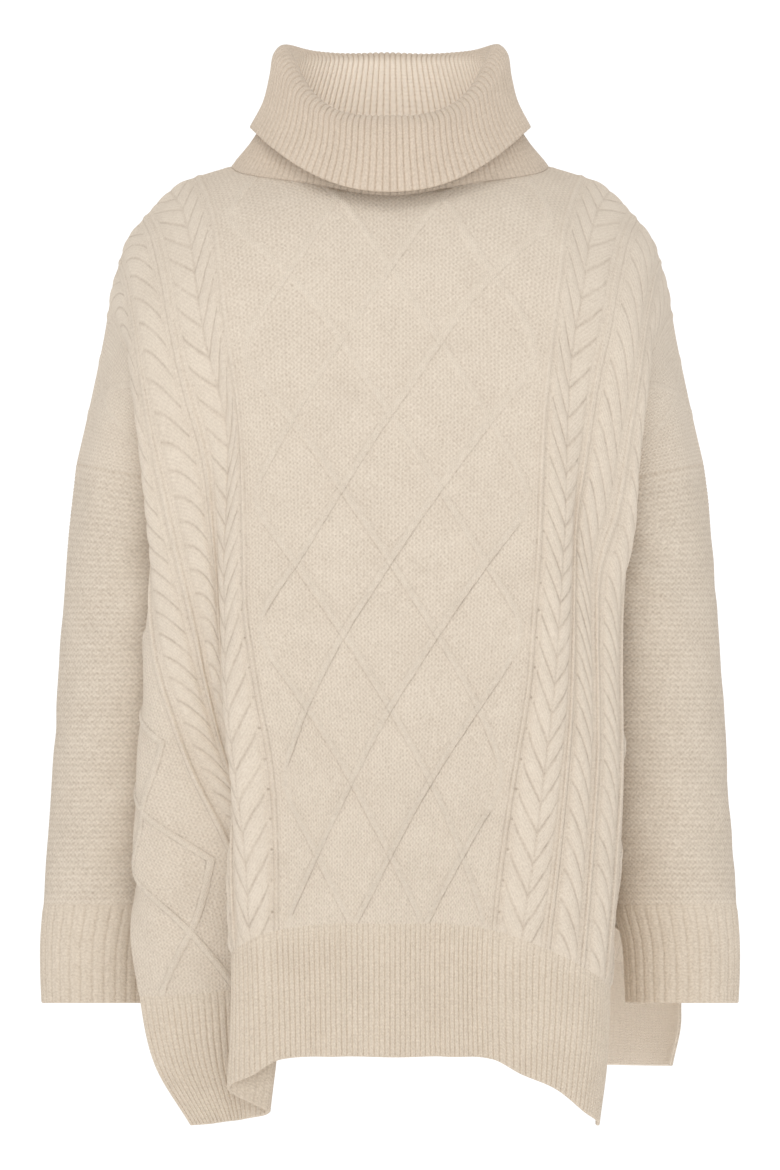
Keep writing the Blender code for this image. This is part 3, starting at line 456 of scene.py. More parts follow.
class Net:
    """Builds the nets of knots that the panels are drawn through."""

    BULGE = 2.0         # how much further out the middle stands than the lattice's edge
    NEXT = 0.52         # where the station beside the middle lies on the way to that edge
    SIDE = 6            # first station that belongs to the back's side
    SIDE_PLANE = 8.0    # how far back the plane between front and back lies
    LIFT_REACH = 200.0  # where the back's higher shoulder line ends

    @classmethod
    def lower_row(cls, t: float, table: dict) -> list:
        """One lower row from the middle to the seam: (x, y, z) at each station.

        Args:
            t: the row's flat distance from the shoulder line.
            table: (x, y) from the lattice edge outward, by row.

        Returns:
            (x, y, z) at each station.
        """
        edge = table[t]
        depth = edge[0][1] - cls.BULGE
        flat = [(0.0, depth), (edge[0][0] * cls.NEXT, depth)] + list(edge)
        return [(x, y, HEIGHTS[t] - drop) for (x, y), drop in zip(flat, DROPS[t])]

    @classmethod
    def front(cls) -> Array:
        """Net of the front panel, rows down and columns from left to right.

        Returns:
            Points (rows, columns, xyz).
        """
        net = []
        for t in ROWS:
            right = YOKE[t] if t in YOKE else cls.lower_row(t, FRONT_RIGHT)
            left = YOKE[t] if t in YOKE else cls.lower_row(t, FRONT_LEFT)
            net.append([(-x, y, z) for x, y, z in reversed(left[1:])] + [tuple(p) for p in right])
        return unseen(net)

    @classmethod
    def behind(cls, t: float, front: list, side: dict) -> list:
        """The back row for a front row, mirrored about the shoulder line or the side seam.

        Args:
            t: the row's flat distance from the shoulder line.
            front: (x, y, z) of the front row at each station.
            side: the back's own sides, by row.

        Returns:
            (x, y, z) of the back row at each station.
        """
        deep = float(smooth(BACK_DEPTH, [t])[0, 0])
        lift = float(smooth(BACK_LIFT, [t])[0, 0])
        last = len(STATIONS) - 1
        row = []
        for i, (x, y, z) in enumerate(front):
            turn = YOKE[0.0][i][1]
            if t not in YOKE:
                turn = min(front[-1][1] * (0.25 + 0.75 * i / last), cls.SIDE_PLANE)
            depth = turn + deep * (turn - y)
            if t not in YOKE and i < cls.SIDE:
                edge = FRONT_RIGHT[t][max(i - 2, 0)][1]
                depth = cls.SIDE_PLANE + deep * (cls.SIDE_PLANE - edge)
            rise = lift * max(0.0, 1.0 - STATIONS[i] / cls.LIFT_REACH)
            if t in HEIGHTS:
                keep = float(smooth(BACK_DROP, [t])[0, 0])
                rise += (HEIGHTS[t] - z) * (1.0 - keep)
            row.append((x, depth, z + rise))
        if t in side:
            row[cls.SIDE:] = [(x, y, z) for (x, y), (_, _, z) in zip(side[t], row[cls.SIDE:])]
        return row

    @classmethod
    def back(cls) -> Array:
        """Net of the back panel.

        Returns:
            Points in the front's order.
        """
        net = []
        for t in ROWS:
            front = list(YOKE[t]) if t in YOKE else cls.lower_row(t, FRONT_RIGHT)
            right = cls.behind(t, front, BACK_SIDE_RIGHT)
            left = cls.behind(t, front, BACK_SIDE_LEFT)
            net.append([(-x, y, z) for x, y, z in reversed(left[1:])] + right)
        return unseen(net)


def neck_reach(s: Array, depth: float) -> Array:
    """How far down the neck edge lies at each place across."""
    return np.clip(1.0 - (np.asarray(s, float) / CLOTH.neck_half) ** 2, 0.0, 1.0) ** 0.4 * depth


def neck_distance(s: Array, t: Array, depth: float) -> Array:
    """How far each place lies from the neck edge, roughly."""
    sideways = np.maximum(np.abs(s) - CLOTH.neck_half, 0.0)
    return np.where(np.abs(s) < CLOTH.neck_half, t - neck_reach(s, depth), np.hypot(sideways, t))


@dataclass(frozen=True)
class Crease:
    """A soft trough or ridge on the cloth, from one flat place to another.

    Attributes:
        s0, t0, s1, t1: its ends.
        half: half its width.
        depth: how deep it goes at its middle; below 0 for a ridge.
    """

    SWAY = 0.35         # how far it sways, as a part of its half width
    TURN = 4.2          # radians of the sway from end to end
    FULL = 0.35         # part of its half length that is fully deep
    FADE = 0.45         # how softly it fades past that

    s0: float
    t0: float
    s1: float
    t1: float
    half: float
    depth: float

    def pull(self, s: Array, t: Array) -> Array:
        """How far the cloth goes in at each place.

        Args:
            s, t: flat places across and down.

        Returns:
            The depth at each place.
        """
        run_s, run_t = self.s1 - self.s0, self.t1 - self.t0
        length = math.hypot(run_s, run_t)
        along = ((s - self.s0) * run_s + (t - self.t0) * run_t) / length
        across = ((s - self.s0) * run_t - (t - self.t0) * run_s) / length
        across = across + self.half * self.SWAY * np.sin(along / length * self.TURN + self.s0)
        past = np.abs(along / length - 0.5) * 2.0 - self.FULL
        ends = np.exp(-(np.clip(past, 0.0, 9.0) / self.FADE) ** 2)
        return self.depth * ends * np.exp(-((across / self.half) ** 2))


class Panel:
    """A front or back panel: a place in space for each flat place (s across, t down)."""

    SEAM_FROM = 285.0               # where the cloth starts to bend to the side seam
    SEAM_FREE = (560.0, 600.0)      # where the seam lets go above the slit
    STEP = 1.5                      # how far apart a direction is measured
    SOFT = 25.0                     # how far creases fade before the shoulder and the neck
    SIDE_SOFT = 22.0                # and before the side seam
    TURN = 16.0                     # width beside a seam in which the cloth turns square to it
    NECK_TURN = 14.0
    SIDE_START = (60.0, 30.0)       # the turn at the side, above and below the armhole's foot
    SIDE_END = (5.0, 50.0)          # and past the top of the slit

    def __init__(self, net: Array, seams: Array, flutes: Sequence, face: Face, neck: float,
                 creases: Sequence[Crease]) -> None:
        """Keep the net and its folds.

        Args:
            net: knots (rows, columns, xyz).
            seams: the net whose sides both panels share.
            flutes: soft upright flutes (middle, half width, depth, start).
            face: front or back.
            neck: depth of the neck opening.
            creases: soft troughs and ridges, as listed.
        """
        self.net = net
        self.seams = seams
        self.flutes = flutes
        self.face = face
        self.neck = neck
        self.creases = creases

    def raw(self, s: Array, t: Array) -> Array:
        """The cloth's middle form without its pattern and creases.

        Args:
            s, t: flat places across and down.

        Returns:
            One point for each place.
        """
        across = weights(COLUMNS, s)
        down = weights(ROWS, t)
        points = np.zeros((len(s), 3))
        for axis in range(3):
            points[:, axis] = np.sum((down @ self.net[:, :, axis]) * across, axis=1)
        points += self.to_seam(s, t, down)
        for middle, half, depth, start in self.flutes:
            pull = np.exp(-(((s - middle) / half) ** 2)) * step(start, CLOTH.hem_end, t) * depth
            points[:, 1] -= pull * self.face.value
        return points

    def to_seam(self, s: Array, t: Array, down: Array) -> Array:
        """Shift that brings the side of the panel to the seam that both panels share.

        Args:
            s, t: flat places across and down.
            down: weights of the rows at t.

        Returns:
            One shift for each place.
        """
        first = ROWS.index(CLOTH.armhole)
        near = step(self.SEAM_FROM, CLOTH.half_width, np.abs(s)) * (t > CLOTH.armhole)
        near = near * (1.0 - step(*self.SEAM_FREE, t))
        shared = weights(ROWS[first:], np.maximum(t, CLOTH.armhole))
        shift = np.zeros((len(s), 3))
        for column, sign in ((0, -1.0), (-1, 1.0)):
            own = down @ self.net[:, column]
            seam = shared @ self.seams[first:, column]
            shift += (seam - own) * (near * (s * sign > 0.0))[:, None]
        return shift

    def normal(self, s: Array, t: Array) -> Array:
        """Outward direction at each place.

        Args:
            s, t: flat places across and down.

        Returns:
            One unit direction for each place.
        """
        along = self.raw(s + self.STEP, t) - self.raw(s - self.STEP, t)
        down = self.raw(s, t + self.STEP) - self.raw(s, t - self.STEP)
        n = unit(np.cross(down, along) * -self.face.value)
        return self.seam_normal(s, t, n)

    def seam_normal(self, s: Array, t: Array, n: Array) -> Array:
        """Both pieces at a seam stand square to it.

        Args:
            s, t: flat places across and down.
            n: the cloth's own outward directions.

        Returns:
            The directions, turned near the seams.
        """
        above, under = self.SIDE_START
        below = step(CLOTH.armhole, CLOTH.armhole + under, t)
        side = np.stack([np.sign(s) * below, np.zeros_like(s), below - 1.0], axis=1)
        near = step(CLOTH.half_width - self.TURN, CLOTH.half_width, np.abs(s))
        near = near * step(CLOTH.armhole - above, CLOTH.armhole, t)
        near = (near * (1.0 - step(*self.SIDE_END, t - CLOTH.slit_top)))[:, None]
        n = n * (1 - near) + side * near
        top = (1.0 - step(0.0, self.TURN, t))[:, None]
        n = n * (1 - top) + n * np.array([1.0, 0.0, 1.0]) * top
        around = self.raw(s, t) * np.array([1.0, 1.0, 0.0]) - np.array([0.0, COLLAR_CENTRE, 0.0])
        neck = (1.0 - step(0.0, self.NECK_TURN, neck_distance(s, t, self.neck)))[:, None]
        return unit(unit(n) + unit(around) * neck)

    def sink(self, s: Array, t: Array) -> Array:
        """How far creases pull the cloth in, fading to nothing at the seams.

        Args:
            s, t: flat places across and down.

        Returns:
            The depth at each place.
        """
        total = np.zeros(len(s))
        for crease in self.creases:
            total += crease.pull(s, t)
        edge = step(0.0, self.SIDE_SOFT, CLOTH.half_width - np.abs(s)) * step(0.0, self.SOFT, t)
        return total * edge * step(0.0, self.SOFT, neck_distance(s, t, self.neck))

    def place(self, s: Array, t: Array, lift: Array) -> Array:
        """Points at that height over the flat places.

        Args:
            s, t: flat places across and down.
            lift: height over the cloth.

        Returns:
            One point for each place.
        """
        s, t = np.asarray(s, float), np.asarray(t, float)
        height = np.broadcast_to(np.asarray(lift, float), s.shape) - self.sink(s, t)
        return self.raw(s, t) + self.normal(s, t) * height[:, None]


# ---- raised pattern ----
class Relief:
    """Height of the raised pattern over the flat cloth."""

    BEND = (14.0, 40.0)     # a strand bends this near the lattice's side, and is straight from here
    BOW = (4.0, 9.0)        # how far the bend reaches past the side, and its radius
    DIP = (0.55, 8.0)       # how much a strand sinks under another, and how far along
    BEAT = (0.08, 0.9)      # rise and fall along a strand, and its radians for each millimetre
    BRAID_FLOOR = 0.35      # height between two strands beside the full height
    ROPE_FLOOR = 0.38
    SPLIT = (0.22, 6.0)     # how much the plait sinks along its middle, and how narrowly
    # The pattern is flatter towards the shoulders: least share, where it grows from and to.
    RIDGES = (0.6, 180.0, 400.0)
    CABLES = (0.4, 110.0, 300.0)
    LINE = (2.4, 2.2)       # half width and height of a rib line

    def __init__(self, size: Pattern) -> None:
        """Keep the pattern's sizes."""
        self.size = size

    @staticmethod
    def zigzag(phase: Array) -> Array:
        """Triangle wave: 1 at whole numbers, -1 half way."""
        return 4.0 * np.abs(phase - np.floor(phase) - 0.5) - 1.0

    @staticmethod
    def round(distance: Array, half: float) -> Array:
        """Cross-section of a soft raised line: 1 on its middle, 0 beside it."""
        u = np.clip(np.abs(distance) / half, 0.0, 1.0)
        return (1.0 - u * u) ** 1.15

    def strand(self, number: int, t: Array) -> tuple[Array, Array]:
        """Where a strand of the middle lattice runs, and how high it lies there.

        At each crossing one strand lies over and the other dips under it, turn about.

        Args:
            number: which strand.
            t: flat places down.

        Returns:
            Its place across, and its height from 0 to 1.
        """
        size = self.size
        period = 2.0 * size.strands * size.lattice_row
        phase = (t - size.lattice_start + 2.0 * size.lattice_row * number) / period
        wave = self.zigzag(phase)
        reach = size.lattice_half - 2.0
        edge = reach * (1.0 - np.abs(wave))
        blend = step(*self.BEND, edge)
        bow = reach + self.BOW[0] - np.hypot(edge, self.BOW[1])
        place = blend * reach * wave + (1 - blend) * np.sign(wave) * bow
        rightward = (phase - np.floor(phase)) > 0.5
        crossing = (t - size.lattice_start) / size.lattice_row
        nearest = np.round(crossing)
        off = np.abs(crossing - nearest) * size.lattice_row
        over = (nearest.astype(int) % 2 == 0) == rightward
        dip = np.where(over, 0.0, self.DIP[0] * np.exp(-((off / self.DIP[1]) ** 2)))
        beat = self.BEAT[0] * (np.sin(t * self.BEAT[1]) - 1.0)
        return place, (1.0 - dip) * (1.0 + beat)

    def side_strand(self, number: int, t: Array) -> Array:
        """Where a strand of a side lattice runs.

        Args:
            number: which strand.
            t: flat places down.

        Returns:
            Its distance from the middle line.
        """
        size = self.size
        phase = (t - size.lattice_start) / (4.0 * size.lattice_row) + 0.5 * number
        return size.side_middle + size.side_half * self.zigzag(phase)

    def braid(self, a: Array, t: Array) -> Array:
        """The wide plait: nested leaves that point down.

        Args:
            a: distances from the middle line.
            t: flat places down.

        Returns:
            Its height at each place.
        """
        size = self.size
        inner, outer = size.braid
        middle, half = (inner + outer) / 2.0, (outer - inner) / 2.0
        u = np.clip(np.abs(a - middle) / half, 0.0, 1.0)
        steep = np.where(a > middle, size.braid_steep[1], size.braid_steep[0])
        phase = t / size.cable_pitch + steep * u + size.braid_curl * u**3
        lobe = np.abs(np.sin(np.pi * phase)) ** size.lobe
        dome = np.sqrt(np.clip(1.0 - u**3.0, 0.0, 1.0))
        groove = 1.0 - self.SPLIT[0] * (1.0 - np.clip(u * self.SPLIT[1], 0.0, 1.0))
        strands = self.BRAID_FLOOR + (1.0 - self.BRAID_FLOOR) * lobe
        return np.where(u < 1.0, size.cable_rise * strands * dome * groove, 0.0)

    def rope(self, s: Array, inner: float, outer: float, t: Array) -> Array:
        """A two-strand rope: its strands all run down to the right.

        Args:
            s: flat places across.
            inner: the rope's inner edge.
            outer: the rope's outer edge.
            t: flat places down.

        Returns:
            Its height at each place.
        """
        size = self.size
        middle, half = (inner + outer) / 2.0, (outer - inner) / 2.0
        u = np.clip((np.abs(s) - middle) / half, -1.0, 1.0) * np.where(s < 0.0, -1.0, 1.0)
        steep = np.where(s < 0.0, *size.rope_steep)
        phase = t / size.cable_pitch - steep * u - size.rope_curl * u**2
        lobe = np.abs(np.sin(np.pi * phase)) ** size.lobe
        dome = np.sqrt(np.clip(1.0 - np.abs(u) ** 2.4, 0.0, 1.0))
        strands = self.ROPE_FLOOR + (1.0 - self.ROPE_FLOOR) * lobe
        return np.where(np.abs(u) < 1.0, size.cable_rise * strands * dome, 0.0)

    @staticmethod
    def flatter(share: tuple[float, float, float], t: Array) -> Array:
        """How much of the pattern's height is left: least share, where it grows from and to."""
        return share[0] + (1.0 - share[0]) * step(share[1], share[2], t)

    def height(self, s: Array, t: Array) -> tuple[Array, Array, Array]:
        """Height of the pattern, how plain its stitch is and how shaded its furrows are.

        Args:
            s, t: flat places across and down.

        Returns:
            The three values at each place.
        """
        size = self.size
        a = np.abs(s)
        half = size.ridge_half * 1.2
        lines = np.zeros_like(a)
        for number in range(size.strands):
            place, level = self.strand(number, t)
            inside = a < size.lattice_half + 2.0
            lines = np.maximum(lines, self.round(s - place, half) * inside * level)
        for number in range(2):
            off = a - self.side_strand(number, t)
            lines = np.maximum(lines, self.round(off, half) * 0.9)
        high = lines * size.ridge_rise * self.flatter(self.RIDGES, t)
        for line in size.rib_lines:
            high = np.maximum(high, self.round(a - line, self.LINE[0]) * self.LINE[1])
        cables = self.braid(a, t)
        for inner, outer in size.ropes:
            cables = np.maximum(cables, self.rope(s, inner, outer, t))
        level = cables / size.cable_rise
        calm = self.flatter(self.CABLES, t)
        high = np.maximum(high * np.where(a > size.lattice_half + 2.0, calm, 1.0), cables * calm)
        # Painted shade between the cables' strands, darkest where they lie lowest.
        furrow_shade = (cables > 0.0) * np.clip(1.0 - level * 1.1, 0.0, 1.0) * 0.5
        plain = np.clip(np.maximum(lines * 2.2, cables * 1.2), 0.0, 1.0)
        column = (a > size.lattice_half + 1.0) & (a < size.rib_lines[-1] + 4.0)
        return high, np.maximum(plain, column * 0.55), furrow_shade


# ---- sheets ----
@dataclass
class Grid:
    """Points of one side of the cloth, in rows and columns, with what is knitted there.

    Attributes:
        points: (rows, columns, xyz) in millimetres.
        stitches: (rows, columns, 2): wale and course number of each point.
        plain: 1 for plain stitch, 0 for moss; on patterned cloth it also lightens the colour, a
            painted highlight on the raised pattern.
        furrow_shade: how much painted shade darkens each point, for lying deep in a furrow, 0 to 1.
        painted_inside_light: how much painted light brightens each point of an inside that would lie
            in shade, 0 to 1.
        taken: how many cells are cut away at the top of each column, if any.
        ribs: (rows, columns, xyz): which way ribs rise, shorter where they fade; if any.
    """

    points: Array
    stitches: Array
    plain: Array
    furrow_shade: Array
    painted_inside_light: Array
    taken: Optional[Array] = None
    ribs: Optional[Array] = None


class Sheet:
    """A knitted piece: outer and inner side joined at the edges into one closed wall."""

    CORNER = math.radians(62.0)     # edges sharper than this stay sharp

    def __init__(self, name: str, outer: Grid, inner: Grid, closed: bool) -> None:
        """Keep both sides.

        Args:
            name: name of the piece.
            outer: the fine side.
            inner: the coarser side, with a whole number of fine cells to each of its own.
            closed: whether the grid runs right round.
        """
        self.name = name
        self.outer = outer
        self.inner = inner
        self.closed = closed

    @staticmethod
    def cells(grid: Grid, closed: bool, first: int) -> Array:
        """Quads of a grid whose points start at first.

        Args:
            grid: the points.
            closed: whether it runs right round.
            first: number of its first point.

        Returns:
            The point numbers of each quad.
        """
        rows, columns = grid.points.shape[:2]
        wide = columns if closed else columns - 1
        r, c = np.meshgrid(np.arange(rows - 1), np.arange(wide), indexing="ij")
        d = (c + 1) % columns
        quads = [r * columns + c, r * columns + d, (r + 1) * columns + d, (r + 1) * columns + c]
        quads = np.stack(quads, axis=-1)
        if grid.taken is not None:
            quads = quads[r >= grid.taken[None, :]]
        return quads.reshape(-1, 4) + first

    @staticmethod
    def top_run(taken: Array) -> list[tuple[int, int]]:
        """(row, column) of each point along the top edge of a grid with cells cut away.

        Args:
            taken: how many cells are cut away in each column.

        Returns:
            The edge from left to right.
        """
        run = [(int(taken[0]), 0)]
        for column, rows in enumerate(taken):
            while run[-1][0] != rows:
                run.append((run[-1][0] + (1 if rows > run[-1][0] else -1), column))
            run.append((int(rows), column + 1))
        return run

    @staticmethod
    def zipper(fine: Array, coarse: Array, fine_at: Array, coarse_at: Array) -> list:
        """Triangles between two runs whose points rise in the given measures.

        Args:
            fine: point numbers of one run.
            coarse: point numbers of the other.
            fine_at: measure along the first.
            coarse_at: and along the second.

        Returns:
            The triangles.
        """
        faces = []
        i = j = 0
        while i < len(fine) - 1 or j < len(coarse) - 1:
            last = j == len(coarse) - 1
            if last or (i < len(fine) - 1 and fine_at[i + 1] <= coarse_at[j + 1]):
                faces.append((fine[i], fine[i + 1], coarse[j]))
                i += 1
            else:
                faces.append((fine[i], coarse[j + 1], coarse[j]))
                j += 1
        return faces

    @staticmethod
    def strip(fine: Array, coarse: Array) -> list:
        """Triangles between a fine and a coarse run of points.

        Args:
            fine: point numbers, a whole number of steps to each coarse one.
            coarse: point numbers.

        Returns:
            The triangles.
        """
        times = (len(fine) - 1) // (len(coarse) - 1)
        faces = []
        for j in range(len(coarse) - 1):
            run = fine[j * times:j * times + times + 1]
            faces += [(run[i], run[i + 1], coarse[j + 1]) for i in range(times)]
            faces.append((run[0], coarse[j + 1], coarse[j]))
        return faces

    def rims(self) -> list:
        """Triangles that close the free edges.

        Returns:
            The triangles.
        """
        rows_o, cols_o = self.outer.points.shape[:2]
        rows_i, cols_i = self.inner.points.shape[:2]
        start = rows_o * cols_o
        faces = []
        turn = 1 if self.closed else 0
        ends = [(0, 0), (rows_o - 1, rows_i - 1)]
        if self.outer.taken is not None:
            ends = ends[1:]
            faces += self.neck_rim(start)
        for row_o, row_i in ends:
            fine = row_o * cols_o + np.arange(cols_o + turn) % cols_o
            coarse = start + row_i * cols_i + np.arange(cols_i + turn) % cols_i
            faces += self.strip(fine, coarse)
        if not self.closed:
            for col_o, col_i in ((0, 0), (cols_o - 1, cols_i - 1)):
                fine = np.arange(rows_o) * cols_o + col_o
                coarse = start + np.arange(rows_i) * cols_i + col_i
                faces += self.strip(fine, coarse)
        return faces

    def neck_rim(self, start: int) -> list:
        """Triangles that close the top edge of a panel.

        Args:
            start: number of the inner side's first point.

        Returns:
            The triangles.
        """
        runs, measures = [], []
        for grid, first in ((self.outer, 0), (self.inner, start)):
            run = self.top_run(grid.taken)
            columns = grid.points.shape[1]
            runs.append(np.array([row * columns + column + first for row, column in run]))
            places = np.array([grid.stitches[row, column, 0] for row, column in run])
            measures.append(np.maximum.accumulate(places))
        return self.zipper(runs[0], runs[1], measures[0], measures[1])

    def wall(self) -> bpy.types.Mesh:
        """The closed wall as a mesh, without its finish.

        Returns:
            The mesh.
        """
        sides = (self.outer, self.inner)
        points = np.vstack([side.points.reshape(-1, 3) for side in sides]) * MM
        outer = self.cells(self.outer, self.closed, 0)
        inner = self.cells(self.inner, self.closed, self.outer.plain.size)
        quads = np.vstack([outer, inner[:, ::-1]])
        rims = np.array(self.rims(), int)
        mesh = bpy.data.meshes.new(self.name)
        mesh.vertices.add(len(points))
        mesh.vertices.foreach_set("co", points.ravel())
        loops = np.concatenate([quads.ravel(), rims.ravel()])
        mesh.loops.add(len(loops))
        mesh.loops.foreach_set("vertex_index", loops)
        starts = np.concatenate([np.arange(len(quads)) * 4,
                                 len(quads) * 4 + np.arange(len(rims)) * 3])
        mesh.polygons.add(len(starts))
        mesh.polygons.foreach_set("loop_start", starts)
        mesh.update(calc_edges=True)
        return mesh

    def build(self, material: bpy.types.Material,
              ribbing: Optional[Ribbing] = None) -> bpy.types.Object:
        """Make the mesh object.

        Args:
            material: its knit.
            ribbing: its ribs, where it has them.

        Returns:
            The object, linked and shaded smooth, with its stitches in a UV map.
        """
        sides = (self.outer, self.inner)
        stitches = np.vstack([side.stitches.reshape(-1, 2) for side in sides])
        kinds = {name: np.concatenate([getattr(side, name).ravel() for side in sides])
                 for name in ("plain", "furrow_shade", "painted_inside_light")}
        around = math.ceil(stitches[:, 0].max()) if self.closed else 0
        mesh = self.wall()
        self.store(mesh, stitches, kinds, around)
        if ribbing:
            ways = np.vstack([side.ribs.reshape(-1, 3) for side in sides])
            mesh = RibTree(ribbing).raise_on(mesh, stitches[:, 0], ways, material)
        else:
            mesh.materials.append(material)
        self.tidy(mesh)
        mesh.polygons.foreach_set("use_smooth", np.ones(len(mesh.polygons), bool))
        mesh.set_sharp_from_angle(angle=self.CORNER)
        item = bpy.data.objects.new(self.name, mesh)
        bpy.context.scene.collection.objects.link(item)
        return item

    @staticmethod
    def tidy(mesh: bpy.types.Mesh) -> None:
        """Turn every face of the closed wall outward and drop the points that were cut away.

        Args:
            mesh: the wall.
        """
        work = bmesh.new()
        work.from_mesh(mesh)
        bmesh.ops.recalc_face_normals(work, faces=work.faces)
        loose = [vertex for vertex in work.verts if not vertex.link_faces]
        bmesh.ops.delete(work, geom=loose, context="VERTS")
        work.to_mesh(mesh)
        work.free()

    @staticmethod
    def store(mesh: bpy.types.Mesh, stitches: Array, kinds: dict[str, Array], around: int) -> None:
        """Write the stitch numbers as a UV map and what the finish needs as attributes.

        Args:
            mesh: the wall.
            stitches: stitch numbers at each point.
            kinds: values at each point, by name.
            around: stitches round a tube, 0 for a flat piece.
        """
        vertex = np.zeros(len(mesh.loops), int)
        mesh.loops.foreach_get("vertex_index", vertex)
        layer = mesh.uv_layers.new(name="stitches")
        spots = stitches[vertex]
        if around:
            starts = np.zeros(len(mesh.polygons), int)
            mesh.polygons.foreach_get("loop_start", starts)
            u = spots[:, 0]
            low, high = np.minimum.reduceat(u, starts), np.maximum.reduceat(u, starts)
            torn = np.repeat(high - low > around / 2.0, np.diff(np.append(starts, len(u))))
            spots[:, 0] = np.where(torn & (u < around / 2.0), u + around, u)
        layer.data.foreach_set("uv", spots.ravel())
        for name, values in kinds.items():
            kind = mesh.attributes.new(name, "FLOAT", "POINT")
            kind.data.foreach_set("value", values.astype(np.float32))


def edge_round(distance: Array, wall: float) -> Array:
    """How far both sides of a wall draw together near a free edge."""
    u = np.clip(1.0 - distance / (wall * 0.5), 0.0, 1.0)
    return wall * 0.5 * (1.0 - np.sqrt(np.clip(1.0 - u * u, 0.0, 1.0)))


def rib_furrow(number: Array, ribbing: Ribbing) -> Array:
    """How deep in a furrow of the ribbing each place lies, one rib for each whole number; it sets the
    painted shade in the furrows and lessens the collar's painted inside light there.
    """
    wave = np.abs(np.sin(np.pi * number)) ** ribbing.roundness
    return np.clip(1.0 - wave * 1.35, 0.0, 1.0)


def quarter_turn(count: int, start: float = 0.2) -> Array:
    """Steps round a soft edge: the sine from start to the whole of a quarter turn."""
    return np.sin(np.linspace(start, 1.0, count) * np.pi / 2.0)


def spread(marks: Sequence[tuple[float, float]], every: int) -> Array:
    """Places from 0 outward with a set spacing up to each mark.

    Args:
        marks: (end, spacing) pairs.
        every: the count of cells is a multiple of this.

    Returns:
        The places, rising from 0.
    """
    places = [0.0]
    for end, spacing in marks:
        count = max(1, round((end - places[-1]) / spacing))
        places += list(np.linspace(places[-1], end, count + 1)[1:])
    extra = (-(len(places) - 1)) % every
    for _ in range(extra):
        gaps = np.diff(places)
        widest = int(np.argmax(gaps))
        places.insert(widest + 1, (places[widest] + places[widest + 1]) / 2.0)
    return np.array(places)


